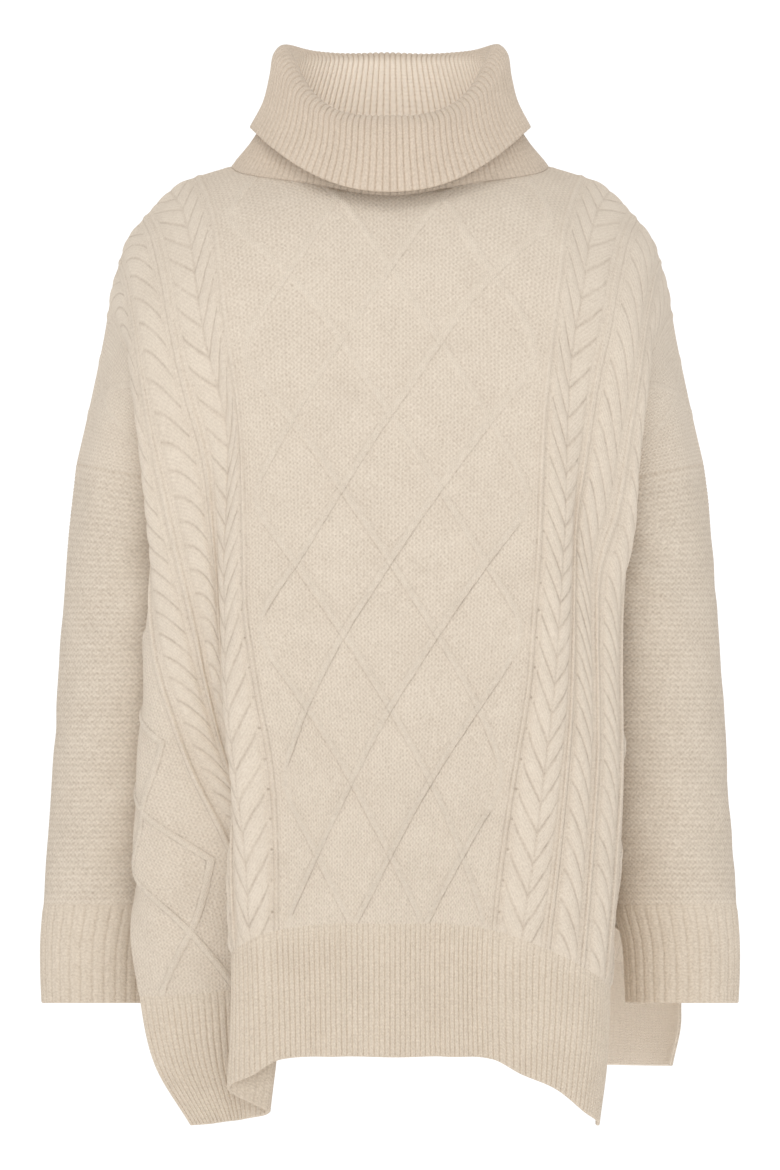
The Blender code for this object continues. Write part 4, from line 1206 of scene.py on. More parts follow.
# ---- body ----
class Body:
    """The front and the back panel, each with its ribbed band below."""

    EVERY = 4           # fine cells to each cell of the inner side
    WALE = 2.75
    COURSE = 2.35
    ROW = 2.6           # height of one fine cell
    # Width of the fine cells from the middle outward: (end, width), narrowest on the cables.
    CELLS = ((96.0, 1.95), (114.0, 1.8), (240.0, 1.5), (CLOTH.half_width - CLOTH.gap / 2.0, 2.7))
    FLUSH = 0.4         # how far the band's ribs and edge sink to lie level with the panel
    LIP = 1.6           # depth of the band's rounded lower edge
    # Painted light on the back's inside, which would lie in shade: on the panel and on the band.
    PANEL_PAINTED_LIGHT = 0.7
    BAND_PAINTED_LIGHT = 0.55

    def __init__(self) -> None:
        """Draw both panels."""
        seams = Net.front()
        self.front = Panel(Net.front(), seams, FLUTES_FRONT, Face.FRONT, CLOTH.neck_front,
                           [Crease(*row) for row in CREASES_FRONT])
        self.back = Panel(Net.back(), seams, FLUTES_BACK, Face.BACK, CLOTH.neck_back,
                          [Crease(*row) for row in CREASES_BACK])
        self.relief = Relief(PATTERN)

    def places(self, panel: Panel, every: int) -> tuple[Array, Array, Array]:
        """Flat places of a panel's grid, and how many cells the neck takes from each column.

        Args:
            panel: front or back.
            every: fine cells to each cell.

        Returns:
            Places across, places down, cells taken.
        """
        half = spread(self.CELLS, self.EVERY)
        columns = np.concatenate([-half[:0:-1], half])[::every]
        low, end = CLOTH.gap / 2.0, CLOTH.panel_end - CLOTH.gap / 2.0
        count = round(end / self.ROW / self.EVERY) * self.EVERY
        rows = np.linspace(low, end, count + 1)[::every]
        s, t = np.meshgrid(columns, rows)
        middle = (columns[1:] + columns[:-1]) / 2.0
        centres = (rows[1:] + rows[:-1]) / 2.0
        inside = centres[:, None] < neck_reach(middle, panel.neck)[None, :]
        taken = inside.sum(axis=0)
        for row, column in Sheet.top_run(taken):
            if taken[max(column - 1, 0)] + taken[min(column, len(taken) - 1)] > 0:
                spot = row, column
                s[spot], t[spot] = self.to_neck(s[spot], t[spot], panel.neck)
        return s, t, taken

    @staticmethod
    def to_neck(s: float, t: float, depth: float) -> tuple[float, float]:
        """The place on the neck edge in the same direction from its middle.

        Args:
            s, t: flat place across and down.
            depth: depth of the neck opening.

        Returns:
            The place across and down.
        """
        low, high = 0.0, 4.0
        for _ in range(40):
            k = (low + high) / 2.0
            inside = k * t < float(neck_reach(k * s, depth)) and abs(k * s) < CLOTH.neck_half
            low, high = (k, high) if inside else (low, k)
        return s * low, max(t * low, CLOTH.gap / 2.0)

    def side(self, panel: Panel, every: int, inner: bool) -> Grid:
        """One side of a panel.

        Args:
            panel: front or back.
            every: fine cells to each cell.
            inner: whether it is the inner side.

        Returns:
            Its points.
        """
        s, t, taken = self.places(panel, every)
        flat_s, flat_t = s.ravel(), t.ravel()
        high, plain, furrow_shade = self.relief.height(flat_s, flat_t)
        near = np.minimum(neck_distance(flat_s, flat_t, panel.neck), CLOTH.panel_end - flat_t)
        slit = CLOTH.half_width - np.abs(flat_s) + np.clip(CLOTH.slit_top - flat_t, 0.0, 99.0)
        high = high * step(0.0, 7.0, near) * step(0.0, 6.0, CLOTH.half_width - np.abs(flat_s))
        lift = high - edge_round(slit, CLOTH.wall)
        if inner:
            lift = edge_round(slit, CLOTH.wall) - CLOTH.wall
        points = panel.place(flat_s, flat_t, lift).reshape(*s.shape, 3)
        stitches = np.stack([s / self.WALE, t / self.COURSE], axis=-1)
        furrow_shade = furrow_shade.reshape(s.shape) * (not inner)
        painted_inside_light = np.full(s.shape, self.PANEL_PAINTED_LIGHT * (inner and panel.face is Face.BACK))
        return Grid(points, stitches, plain.reshape(s.shape), furrow_shade, painted_inside_light, taken)

    def panel(self, name: str, panel: Panel, material: bpy.types.Material) -> bpy.types.Object:
        """Build one panel.

        Args:
            name: name of the piece.
            panel: front or back.
            material: its knit.

        Returns:
            The piece.
        """
        outer = self.side(panel, 1, False)
        inner = self.side(panel, self.EVERY, True)
        return Sheet(name, outer, inner, False).build(material)

    def band_side(self, panel: Panel, inner: bool) -> Grid:
        """One side of the ribbed band below a panel.

        Args:
            panel: front or back.
            inner: whether it is the inner side.

        Returns:
            Its points.
        """
        low, high = CLOTH.panel_end - self.FLUSH, CLOTH.hem_end
        reach = CLOTH.half_width - CLOTH.gap / 2.0
        columns = np.linspace(-reach, reach, HEM_RIBS.count * (2 if inner else 8) + 1)
        lip = high - self.LIP
        rows = np.concatenate([low + np.linspace(0.0, 1.0, 7 if inner else 25) ** 0.9 * (lip - low),
                               lip + self.LIP * quarter_turn(2 if inner else 8)])
        s, t = np.meshgrid(columns, rows)
        number = (s + reach) / (2.0 * reach) * HEM_RIBS.count
        slit = np.minimum(CLOTH.half_width - np.abs(s), high + 0.05 - t)
        draw = edge_round(slit, CLOTH.wall)
        lift = draw - CLOTH.wall if inner else -draw - self.FLUSH
        points = panel.place(s.ravel(), t.ravel(), lift.ravel()).reshape(*s.shape, 3)
        start = (0.6 + 0.4 * step(low, low + 20.0, t)) * (not inner)
        ribs = panel.normal(s.ravel(), t.ravel()).reshape(*s.shape, 3) * start[..., None]
        stitches = np.stack([number, t / RIB_COURSE], axis=-1)
        painted_inside_light = np.full(s.shape, self.BAND_PAINTED_LIGHT * (inner and panel.face is Face.BACK))
        shade = rib_furrow(number, HEM_RIBS)
        return Grid(points, stitches, np.ones(s.shape), shade, painted_inside_light, ribs=ribs)

    def band(self, name: str, panel: Panel, material: bpy.types.Material) -> bpy.types.Object:
        """Build the ribbed band below a panel.

        Args:
            name: name of the piece.
            panel: front or back.
            material: its knit.

        Returns:
            The piece.
        """
        outer, inner = self.band_side(panel, False), self.band_side(panel, True)
        return Sheet(name, outer, inner, False).build(material, HEM_RIBS)


# ---- sleeves ----
class Sleeve:
    """A sleeve set into the armhole, and its cuff."""

    COLUMNS = 216
    ROWS = 244
    EVERY = 4           # fine cells to each cell of the inner side
    WALES = 108         # stitches round
    RADIUS = 55.0       # of the arm, where folds and stitches are measured round it
    TUCK = 0.5          # how far an edge slips under the piece above it
    TOP = -222.0        # height of the armhole's ring
    ELBOW = -330.0      # below here the rings lie level
    END = -561.8        # height of the edge above the cuff
    CUFF_TOP = -561.3
    CUFF_END = -638.0
    LIP = 1.6           # depth of the cuff's rounded edge
    SLANT = 10.5        # how far the top ring drops from its outer side to its middle
    UNEVEN = 0.45
    MOSS = 0.22         # rise and fall of the moss stitch

    def __init__(self, body: Body, side: Side) -> None:
        """Take the armhole edge from both panels.

        Args:
            body: the panels.
            side: which arm.
        """
        self.side = side
        rows = np.linspace(0.0, CLOTH.armhole, self.COLUMNS // 2 + 1)
        edge = side.value * CLOTH.half_width
        points, normals = [], []
        for panel, run in ((body.front, rows[:-1]), (body.back, rows[:0:-1])):
            s = np.full(len(run), edge)
            points.append(panel.raw(s, run))
            normals.append(panel.normal(s, run))
        self.ring = np.vstack(points)
        self.normal = np.vstack(normals)

    @classmethod
    def rings(cls, table: dict, heights: Array, columns: int, lift: Array) -> Array:
        """Rings of an arm on the right side.

        Args:
            table: sizes of the rings by height.
            heights: height of each ring.
            columns: points round a ring.
            lift: how far each point is pushed out.

        Returns:
            Points (rows, columns, xyz).
        """
        inner, outer, front, back = smooth(table, heights).T[:, :, None]
        angle = np.linspace(0.0, 2 * np.pi, columns, endpoint=False)[None, :]
        cos, sin = np.cos(angle), -np.sin(angle)
        tilt = cls.SLANT * step(cls.ELBOW, cls.TOP, heights)[:, None]
        x = (inner + outer) / 2.0 + ((outer - inner) / 2.0 + lift) * cos
        y = (front + back) / 2.0 + ((back - front) / 2.0 + lift) * sin
        z = heights[:, None] + tilt * cos - tilt
        return unseen(np.stack([x, y, z], axis=-1))

    def folds(self, angle: Array, z: Array) -> Array:
        """Soft troughs and ridges round the sleeve, in millimetres out.

        Args:
            angle: places round, from the outer side forward.
            z: heights.

        Returns:
            How far out each place goes.
        """
        total = np.zeros(np.broadcast(angle, z).shape)
        table = SLEEVE_CREASES_LEFT if self.side is Side.LEFT else SLEEVE_CREASES_RIGHT
        for degrees, height, slope, half, length, depth in table:
            off = (angle - math.radians(degrees) + np.pi) % (2 * np.pi) - np.pi
            off = off * self.RADIUS
            rise = z - height
            across = (rise - slope * off) / math.hypot(1.0, slope)
            along = (off + slope * rise) / math.hypot(1.0, slope)
            total -= depth * np.exp(-((across / half) ** 2) - (along / length) ** 4)
        return total

    def to_armhole(self, rings: Array, plain: Array, heights: Array, every: int,
                   inner: bool) -> Array:
        """Bend the top rings to the armhole's edge.

        Args:
            rings: the sleeve's rings.
            plain: its first ring without folds.
            heights: height of each ring.
            every: fine cells to each cell of these rings.
            inner: whether they are the inner side.

        Returns:
            The bent rings.
        """
        ring, normal = self.ring[::every], self.normal[::every]
        along = unit(np.roll(ring, -1, axis=0) - np.roll(ring, 1, axis=0))
        outward = unit(np.cross(along, normal))
        outward *= np.sign(np.sum(outward * (rings[2] - ring), axis=1))[:, None]
        near = step(self.TOP - 88.0, self.TOP, heights)
        rings = rings + (ring - plain)[None] * near[:, None, None]
        rings[0] = ring - outward * self.TUCK - normal * (CLOTH.wall if inner else self.TUCK)
        return rings

    def grid(self, every: int, inner: bool) -> Grid:
        """One side of the sleeve's wall.

        Args:
            every: fine cells to each cell.
            inner: whether it is the inner side.

        Returns:
            Its points.
        """
        top, end = self.TOP, self.END
        columns = self.COLUMNS // every
        heights = np.linspace(top, end, self.ROWS + 1)[::every]
        angle = np.linspace(0.0, 2 * np.pi, columns, endpoint=False)[None, :]
        down = heights[:, None]
        near = step(top, top - 14.0, down) * step(end, end + 9.8, down)
        folds = self.folds(angle, down) * step(top, top - 18.0, down) * step(end, end + 13.8, down)
        seed = 11 + int(self.side.value)
        wave = self.UNEVEN * ripple(angle * self.RADIUS, down, 38.0, seed) * near
        lift = folds + wave - CLOTH.wall * inner
        if not inner:
            odd = (np.arange(columns)[None, :] + np.arange(len(heights))[:, None]) % 2
            lift = lift + self.MOSS * (1 - 2 * odd) * near
        rings = self.rings(SLEEVE_RINGS, heights, columns, lift)
        plain = self.rings(SLEEVE_RINGS, heights[:1], columns, np.zeros((1, 1)))[0]
        rings[..., 0] *= self.side.value
        plain[..., 0] *= self.side.value
        rings = self.to_armhole(rings, plain, heights, every, inner)
        turns = np.broadcast_to(angle / (2 * np.pi) * self.WALES, rings.shape[:2])
        courses = np.broadcast_to(-down / Body.COURSE, rings.shape[:2])
        moss = np.zeros(rings.shape[:2])
        return Grid(rings, np.stack([turns, courses], axis=-1), moss, moss, moss)

    def build(self, name: str, material: bpy.types.Material) -> bpy.types.Object:
        """Build the sleeve."""
        return Sheet(name, self.grid(1, False), self.grid(self.EVERY, True), True).build(material)

    def cuff_side(self, inner: bool) -> Grid:
        """One side of the ribbed cuff.

        Args:
            inner: whether it is the inner side.

        Returns:
            Its points.
        """
        columns = CUFF_RIBS.count * (3 if inner else 12)
        lip = self.CUFF_END + self.LIP
        heights = np.concatenate([np.linspace(self.CUFF_TOP, lip, 8 if inner else 29),
                                  lip - self.LIP * quarter_turn(2 if inner else 8)])
        angle = np.linspace(0.0, 2 * np.pi, columns, endpoint=False)[None, :]
        down = heights[:, None]
        draw = edge_round(down - self.CUFF_END + 0.05, CLOTH.wall)
        lift = draw - CLOTH.wall if inner else -draw
        points = self.rings(CUFF_RINGS, heights, columns, lift)
        fade = step(self.END + 0.8, self.END - 6.2, down) * (not inner)
        ribs = (self.rings(CUFF_RINGS, heights, columns, lift + 1.0) - points) * fade[..., None]
        for places in (points, ribs):
            places[..., 0] *= self.side.value
        number = np.broadcast_to(angle / (2 * np.pi) * CUFF_RIBS.count, points.shape[:2])
        courses = np.broadcast_to(-down / RIB_COURSE, points.shape[:2])
        stitches = np.stack([number, courses], axis=-1)
        shade = rib_furrow(number, CUFF_RIBS)
        return Grid(points, stitches, np.ones(shade.shape), shade, np.zeros(shade.shape), ribs=ribs)

    def cuff(self, name: str, material: bpy.types.Material) -> bpy.types.Object:
        """Build the ribbed cuff."""
        outer, inner = self.cuff_side(False), self.cuff_side(True)
        return Sheet(name, outer, inner, True).build(material, CUFF_RIBS)


# ---- collar ----
class Collar:
    """The ribbed collar: it rises from the neck edge, rolls over and hangs outside."""

    EVERY = 2           # fine cells to each cell of the inner side
    COLUMNS = COLLAR_RIBS.count * 8
    ROWS = 64
    ROW = 16.0          # cloth between two rows of the table of sizes
    RADIUS = 100.0
    LAST = len(COLLAR_ROWS) - 1.0
    LIP = 0.1           # part of a row that the rounded edge takes
    UNEVEN = 0.7

    def __init__(self, body: Body) -> None:
        """Take the neck edge from both panels."""
        self.body = body

    def ring(self, columns: int) -> tuple[Array, Array]:
        """Points and wall directions round the neck edge.

        Args:
            columns: how many points.

        Returns:
            The points, and the outward direction at each.
        """
        points, normals = [], []
        angle = np.linspace(0.0, np.pi, columns // 2 + 1)
        for panel, depth, turn in ((self.body.front, CLOTH.neck_front, angle[:-1]),
                                   (self.body.back, CLOTH.neck_back, angle[:0:-1])):
            s = CLOTH.neck_half * np.cos(turn)
            t = depth * np.maximum(np.sin(turn), 0.0) ** 0.8
            points.append(panel.raw(s, t))
            normals.append(panel.normal(s, t))
        return np.vstack(points), np.vstack(normals)

    def rings(self, places: Array, columns: int) -> Array:
        """Rings of the collar's visible side before ribbing.

        Args:
            places: rows of the table of sizes, and places between them.
            columns: points round.

        Returns:
            Points (rows, columns, xyz).
        """
        sizes = smooth(dict(enumerate(COLLAR_ROWS)), places)
        angle = np.linspace(0.0, 2 * np.pi, columns, endpoint=False)
        cos, sin = np.cos(angle)[None, :], -np.sin(angle)[None, :]
        wide, front, back, z_side, z_front, z_back, square = (sizes[:, k:k + 1] for k in range(7))
        reach = np.where(sin < 0.0, COLLAR_CENTRE - front, back - COLLAR_CENTRE)
        y = COLLAR_CENTRE + reach * sin
        middle = np.where(sin < 0.0, z_front, z_back)
        z = middle + (z_side - middle) * np.abs(cos) ** square
        return unseen(np.stack(np.broadcast_arrays(wide * cos, y, z), axis=2))

    def grid(self, every: int, inner: bool) -> Grid:
        """One side of the collar's wall.

        Args:
            every: fine cells to each cell.
            inner: whether it is the inner side.

        Returns:
            Its points.
        """
        columns = self.COLUMNS // every
        lip = self.LAST - self.LIP
        places = np.concatenate([np.linspace(0.0, lip, self.ROWS + 1)[::every],
                                 lip + self.LIP * quarter_turn(8, 0.25)[every - 1::every]])
        down = places[:, None]
        ring, normal = self.ring(columns)
        along = unit(np.roll(ring, -1, axis=0) - np.roll(ring, 1, axis=0))
        up = unit(np.cross(along, normal))
        up = up * np.sign(up[:, 2:3])
        rings = self.rings(places, columns)
        shift = ring - normal * CLOTH.wall - self.rings(places[:1], columns)[0]
        rings = rings + shift[None] * (1.0 - step(0.0, 1.4, places))[:, None, None]
        drop = np.gradient(rings, axis=0)
        run = np.roll(rings, -1, axis=1) - np.roll(rings, 1, axis=1)
        out = unit(np.cross(run, drop))
        angle = np.linspace(0.0, 2 * np.pi, columns, endpoint=False)[None, :]
        draw = edge_round(np.clip(self.LAST + 0.02 - down, 0.0, self.LAST) * self.ROW, CLOTH.wall)
        uneven = self.UNEVEN * ripple(angle * self.RADIUS, down * self.ROW, 70.0, 5)
        lift = uneven * step(0.3, 2.0, down) + (draw - CLOTH.wall if inner else -draw)
        rings = rings + out * lift[..., None]
        rings[0] = ring + up * CLOTH.gap - normal * CLOTH.wall * (not inner)
        fade = step(0.0, 0.35, down) * (-step(3.6, 2.6, down) if inner else 1.0)
        number = np.broadcast_to(angle / (2 * np.pi) * COLLAR_RIBS.count, rings.shape[:2])
        courses = np.broadcast_to(down * self.ROW / RIB_COURSE, rings.shape[:2])
        stitches = np.stack([number, courses], axis=-1)
        shade = rib_furrow(number, COLLAR_RIBS)
        # Painted light on the collar's inside up to where it rolls over, less in the ribs' furrows.
        painted_inside_light = (1.0 - step(3.3, 4.5, down)) * (0.85 - 0.5 * shade) * (not inner)
        ribs = out * fade[..., None]
        return Grid(rings, stitches, np.ones(shade.shape), shade, painted_inside_light, ribs=ribs)

    def build(self, name: str, material: bpy.types.Material) -> bpy.types.Object:
        """Build the collar."""
        outer, inner = self.grid(1, False), self.grid(self.EVERY, True)
        return Sheet(name, outer, inner, True).build(material, COLLAR_RIBS)


# ---- node graphs ----
class Value:
    """An output socket that takes part in ordinary arithmetic."""

    def __init__(self, graph: "Graph", socket: bpy.types.NodeSocket) -> None:
        """Wrap one output socket of a graph."""
        self.graph = graph
        self.socket = socket

    def __add__(self, other: "Term") -> "Value":
        """The sum."""
        return self.graph.math("ADD", self, other)

    __radd__ = __add__

    def __sub__(self, other: "Term") -> "Value":
        """The difference."""
        return self.graph.math("SUBTRACT", self, other)

    def __rsub__(self, other: "Term") -> "Value":
        """The difference, the other way round."""
        return self.graph.math("SUBTRACT", other, self)

    def __mul__(self, other: "Term") -> "Value":
        """The product."""
        return self.graph.math("MULTIPLY", self, other)

    __rmul__ = __mul__

    def __truediv__(self, other: "Term") -> "Value":
        """The quotient."""
        return self.graph.math("DIVIDE", self, other)

    def __pow__(self, other: "Term") -> "Value":
        """The power."""
        return self.graph.math("POWER", self, other)

    def __abs__(self) -> "Value":
        """The value without its sign."""
        return self.graph.math("ABSOLUTE", self)

    def sign(self) -> "Value":
        """Its sign: -1, 0 or 1."""
        return self.graph.math("SIGN", self)

    def sine(self) -> "Value":
        """The sine."""
        return self.graph.math("SINE", self)

    def cosine(self) -> "Value":
        """The cosine."""
        return self.graph.math("COSINE", self)

    def at_least(self, low: float) -> "Value":
        """The value, raised to a limit where it lies below."""
        return self.graph.math("MAXIMUM", self, low)

    def at_most(self, high: float) -> "Value":
        """The value, lowered to a limit where it lies above."""
        return self.graph.math("MINIMUM", self, high)

    def above(self, limit: float) -> "Value":
        """1 above a limit, 0 elsewhere."""
        return self.graph.math("GREATER_THAN", self, limit)

    def below(self, limit: float) -> "Value":
        """1 below a limit, 0 elsewhere."""
        return self.graph.math("LESS_THAN", self, limit)

    def to_whole(self, period: float = 1.0) -> "Value":
        """Distance to the nearest whole number of periods."""
        return self.graph.math("PINGPONG", self, period / 2.0)


Term = Value | float


class Graph:
    """A node tree, built with expressions."""

    def __init__(self, tree: bpy.types.NodeTree) -> None:
        """Take the tree that the nodes go in."""
        self.tree = tree

    def node(self, kind: str, settings: Optional[dict[str, Any]] = None,
             sockets: Optional[dict[int | str, Any]] = None, output: int | str = 0) -> Value:
        """Add a node.

        Args:
            kind: its Blender type.
            settings: its properties, which are set first.
            sockets: its inputs, each a constant or a Value.
            output: which of its outputs is wanted.

        Returns:
            That output.
        """
        node = self.tree.nodes.new(kind)
        for key, value in (settings or {}).items():
            setattr(node, key, value)
        for key, value in (sockets or {}).items():
            self.feed(node.inputs[key], value)
        return Value(self, node.outputs[output])

    def feed(self, socket: bpy.types.NodeSocket, value: Any) -> None:
        """Link a Value to a socket, or set a constant on it.

        Args:
            socket: the input.
            value: what it gets.
        """
        if isinstance(value, Value):
            self.tree.links.new(value.socket, socket)
        else:
            socket.default_value = value

    def math(self, operation: str, *terms: Term) -> Value:
        """One arithmetic node."""
        return self.node("ShaderNodeMath", {"operation": operation}, dict(enumerate(terms)))

    def for_camera(self, lit: Value, white: Value) -> Value:
        """The lit shade for every ray but the camera's, which sees plain white.

        Args:
            lit: the shade in the light.
            white: what the camera sees.

        Returns:
            Both, told apart by the ray.
        """
        seen = self.node("ShaderNodeLightPath", output="Is Camera Ray")
        return self.node("ShaderNodeMixShader", {}, {0: seen, 1: lit, 2: white})


class Paint(Graph):
    """A material's node tree."""

    def __init__(self, name: str) -> None:
        """Start a material with its Principled shader.

        Args:
            name: name of the material.
        """
        self.material = bpy.data.materials.new(name)
        self.material.use_nodes = True
        super().__init__(self.material.node_tree)
        self.shader = self.tree.nodes["Principled BSDF"]

    def dress(self, sockets: dict[str, Any]) -> bpy.types.Material:
        """Set the shader's sockets and give the material back.

        Args:
            sockets: a constant or a Value for each named input.

        Returns:
            The material.
        """
        for name, value in sockets.items():
            self.feed(self.shader.inputs[name], value)
        return self.material

    def noise(self, vector: Value, scale: float, detail: float) -> Value:
        """Smooth noise, 0 to 1."""
        sockets = {"Vector": vector, "Scale": scale, "Detail": detail}
        return self.node("ShaderNodeTexNoise", {}, sockets)

    def mix(self, factor: Term, a: Any, b: Any) -> Value:
        """Blend of two colours."""
        return self.node("ShaderNodeMix", {"data_type": "RGBA"}, {0: factor, 6: a, 7: b}, 2)


class RibTree(Graph):
    """Geometry nodes that raise ribs out of a plain wall: rounded ribs with narrow furrows."""

    INPUTS = {"Rise": "NodeSocketFloat", "Roundness": "NodeSocketFloat",
              "Knit": "NodeSocketMaterial"}

    def __init__(self, ribbing: Ribbing) -> None:
        """Build the tree.

        Args:
            ribbing: the ribs that it raises.
        """
        super().__init__(bpy.data.node_groups.new("ribs", "GeometryNodeTree"))
        self.ribbing = ribbing
        sockets = self.tree.interface
        sockets.new_socket("Wall", in_out="INPUT", socket_type="NodeSocketGeometry")
        self.keys = {name: sockets.new_socket(name, in_out="INPUT", socket_type=kind).identifier
                     for name, kind in self.INPUTS.items()}
        sockets.new_socket("Wall", in_out="OUTPUT", socket_type="NodeSocketGeometry")
        start = self.tree.nodes.new("NodeGroupInput").outputs
        wall, rise, roundness, knit = (Value(self, start[name]) for name in ("Wall", *self.INPUTS))
        wave = abs((self.written("rib", "FLOAT") * math.pi).sine()) ** roundness
        shift = self.node("ShaderNodeVectorMath", {"operation": "SCALE"},
                          {0: self.written("way", "FLOAT_VECTOR"), "Scale": wave * rise})
        raised = self.node("GeometryNodeSetPosition", {}, {"Geometry": wall, "Offset": shift})
        whole = self.node("GeometryNodeRealizeInstances", {}, {"Geometry": raised})
        dressed = self.node("GeometryNodeSetMaterial", {}, {"Geometry": whole, "Material": knit})
        self.feed(self.tree.nodes.new("NodeGroupOutput").inputs["Wall"], dressed)

    def written(self, name: str, kind: str) -> Value:
        """A value stored on the wall's points."""
        return self.node("GeometryNodeInputNamedAttribute", {"data_type": kind}, {"Name": name})

    def raise_on(self, wall: bpy.types.Mesh, numbers: Array, ways: Array,
                 knit: bpy.types.Material) -> bpy.types.Mesh:
        """Raise the ribs of a wall.

        Args:
            wall: the plain wall, which is used up.
            numbers: rib number at each point.
            ways: which way the ribs rise at each point, shorter where they fade.
            knit: the wall's material.

        Returns:
            The ribbed wall.
        """
        name = wall.name
        number = wall.attributes.new("rib", "FLOAT", "POINT")
        number.data.foreach_set("value", numbers.astype(np.float32))
        way = wall.attributes.new("way", "FLOAT_VECTOR", "POINT")
        way.data.foreach_set("vector", ways.astype(np.float32).ravel())
        carrier = bpy.data.objects.new(name, wall)
        bpy.context.scene.collection.objects.link(carrier)
        modifier = carrier.modifiers.new("ribs", "NODES")
        modifier.node_group = self.tree
        modifier[self.keys["Rise"]] = self.ribbing.rise * MM
        modifier[self.keys["Roundness"]] = self.ribbing.roundness
        modifier[self.keys["Knit"]] = knit
        shown = bpy.context.evaluated_depsgraph_get()
        ribbed = bpy.data.meshes.new_from_object(carrier.evaluated_get(shown),
                                                 preserve_all_data_layers=True, depsgraph=shown)
        bpy.data.objects.remove(carrier)
        bpy.data.meshes.remove(wall)
        ribbed.name = name
        for spent in ("rib", "way"):
            ribbed.attributes.remove(ribbed.attributes[spent])
        return ribbed


# ---- finishes ----
Colour = tuple[float, float, float]


@dataclass(frozen=True)
class Yarn:
    """A finish: the yarn's colours, its painted shade and light, and how its stitches show.

    Attributes:
        name: name of the material.
        colour: the lightest tone: the yarn's paler heather, and its painted highlights.
        deep: the darkest tone: the yarn's darker heather, and the painted shade in its furrows, dents
            and stitch hollows.
        painted_inside_light: colour of the painted light on insides that would lie in shade; also the
            sheen's tint.
        patterned: whether the cloth has cables and a lattice.
        rows: how much the courses of moss stitch stand out.
        depth: depth of a stitch in millimetres.
        fleck: how heathered the yarn is.
        sheen: how much its fibres catch the light at the sides.
        furrow_shade: how dark the painted shade in its furrows is.
        painted_glow: strength of a painted glow on the same insides, which brightens them though no
            lamp is there.
    """

    name: str
    colour: Colour
    deep: Colour
    painted_inside_light: Colour = (0.94, 0.84, 0.72)
    patterned: bool = False
    rows: float = 0.04
    depth: float = 0.55
    fleck: float = 0.05
    sheen: float = 0.3
    furrow_shade: float = 0.2
    painted_glow: float = 0.12


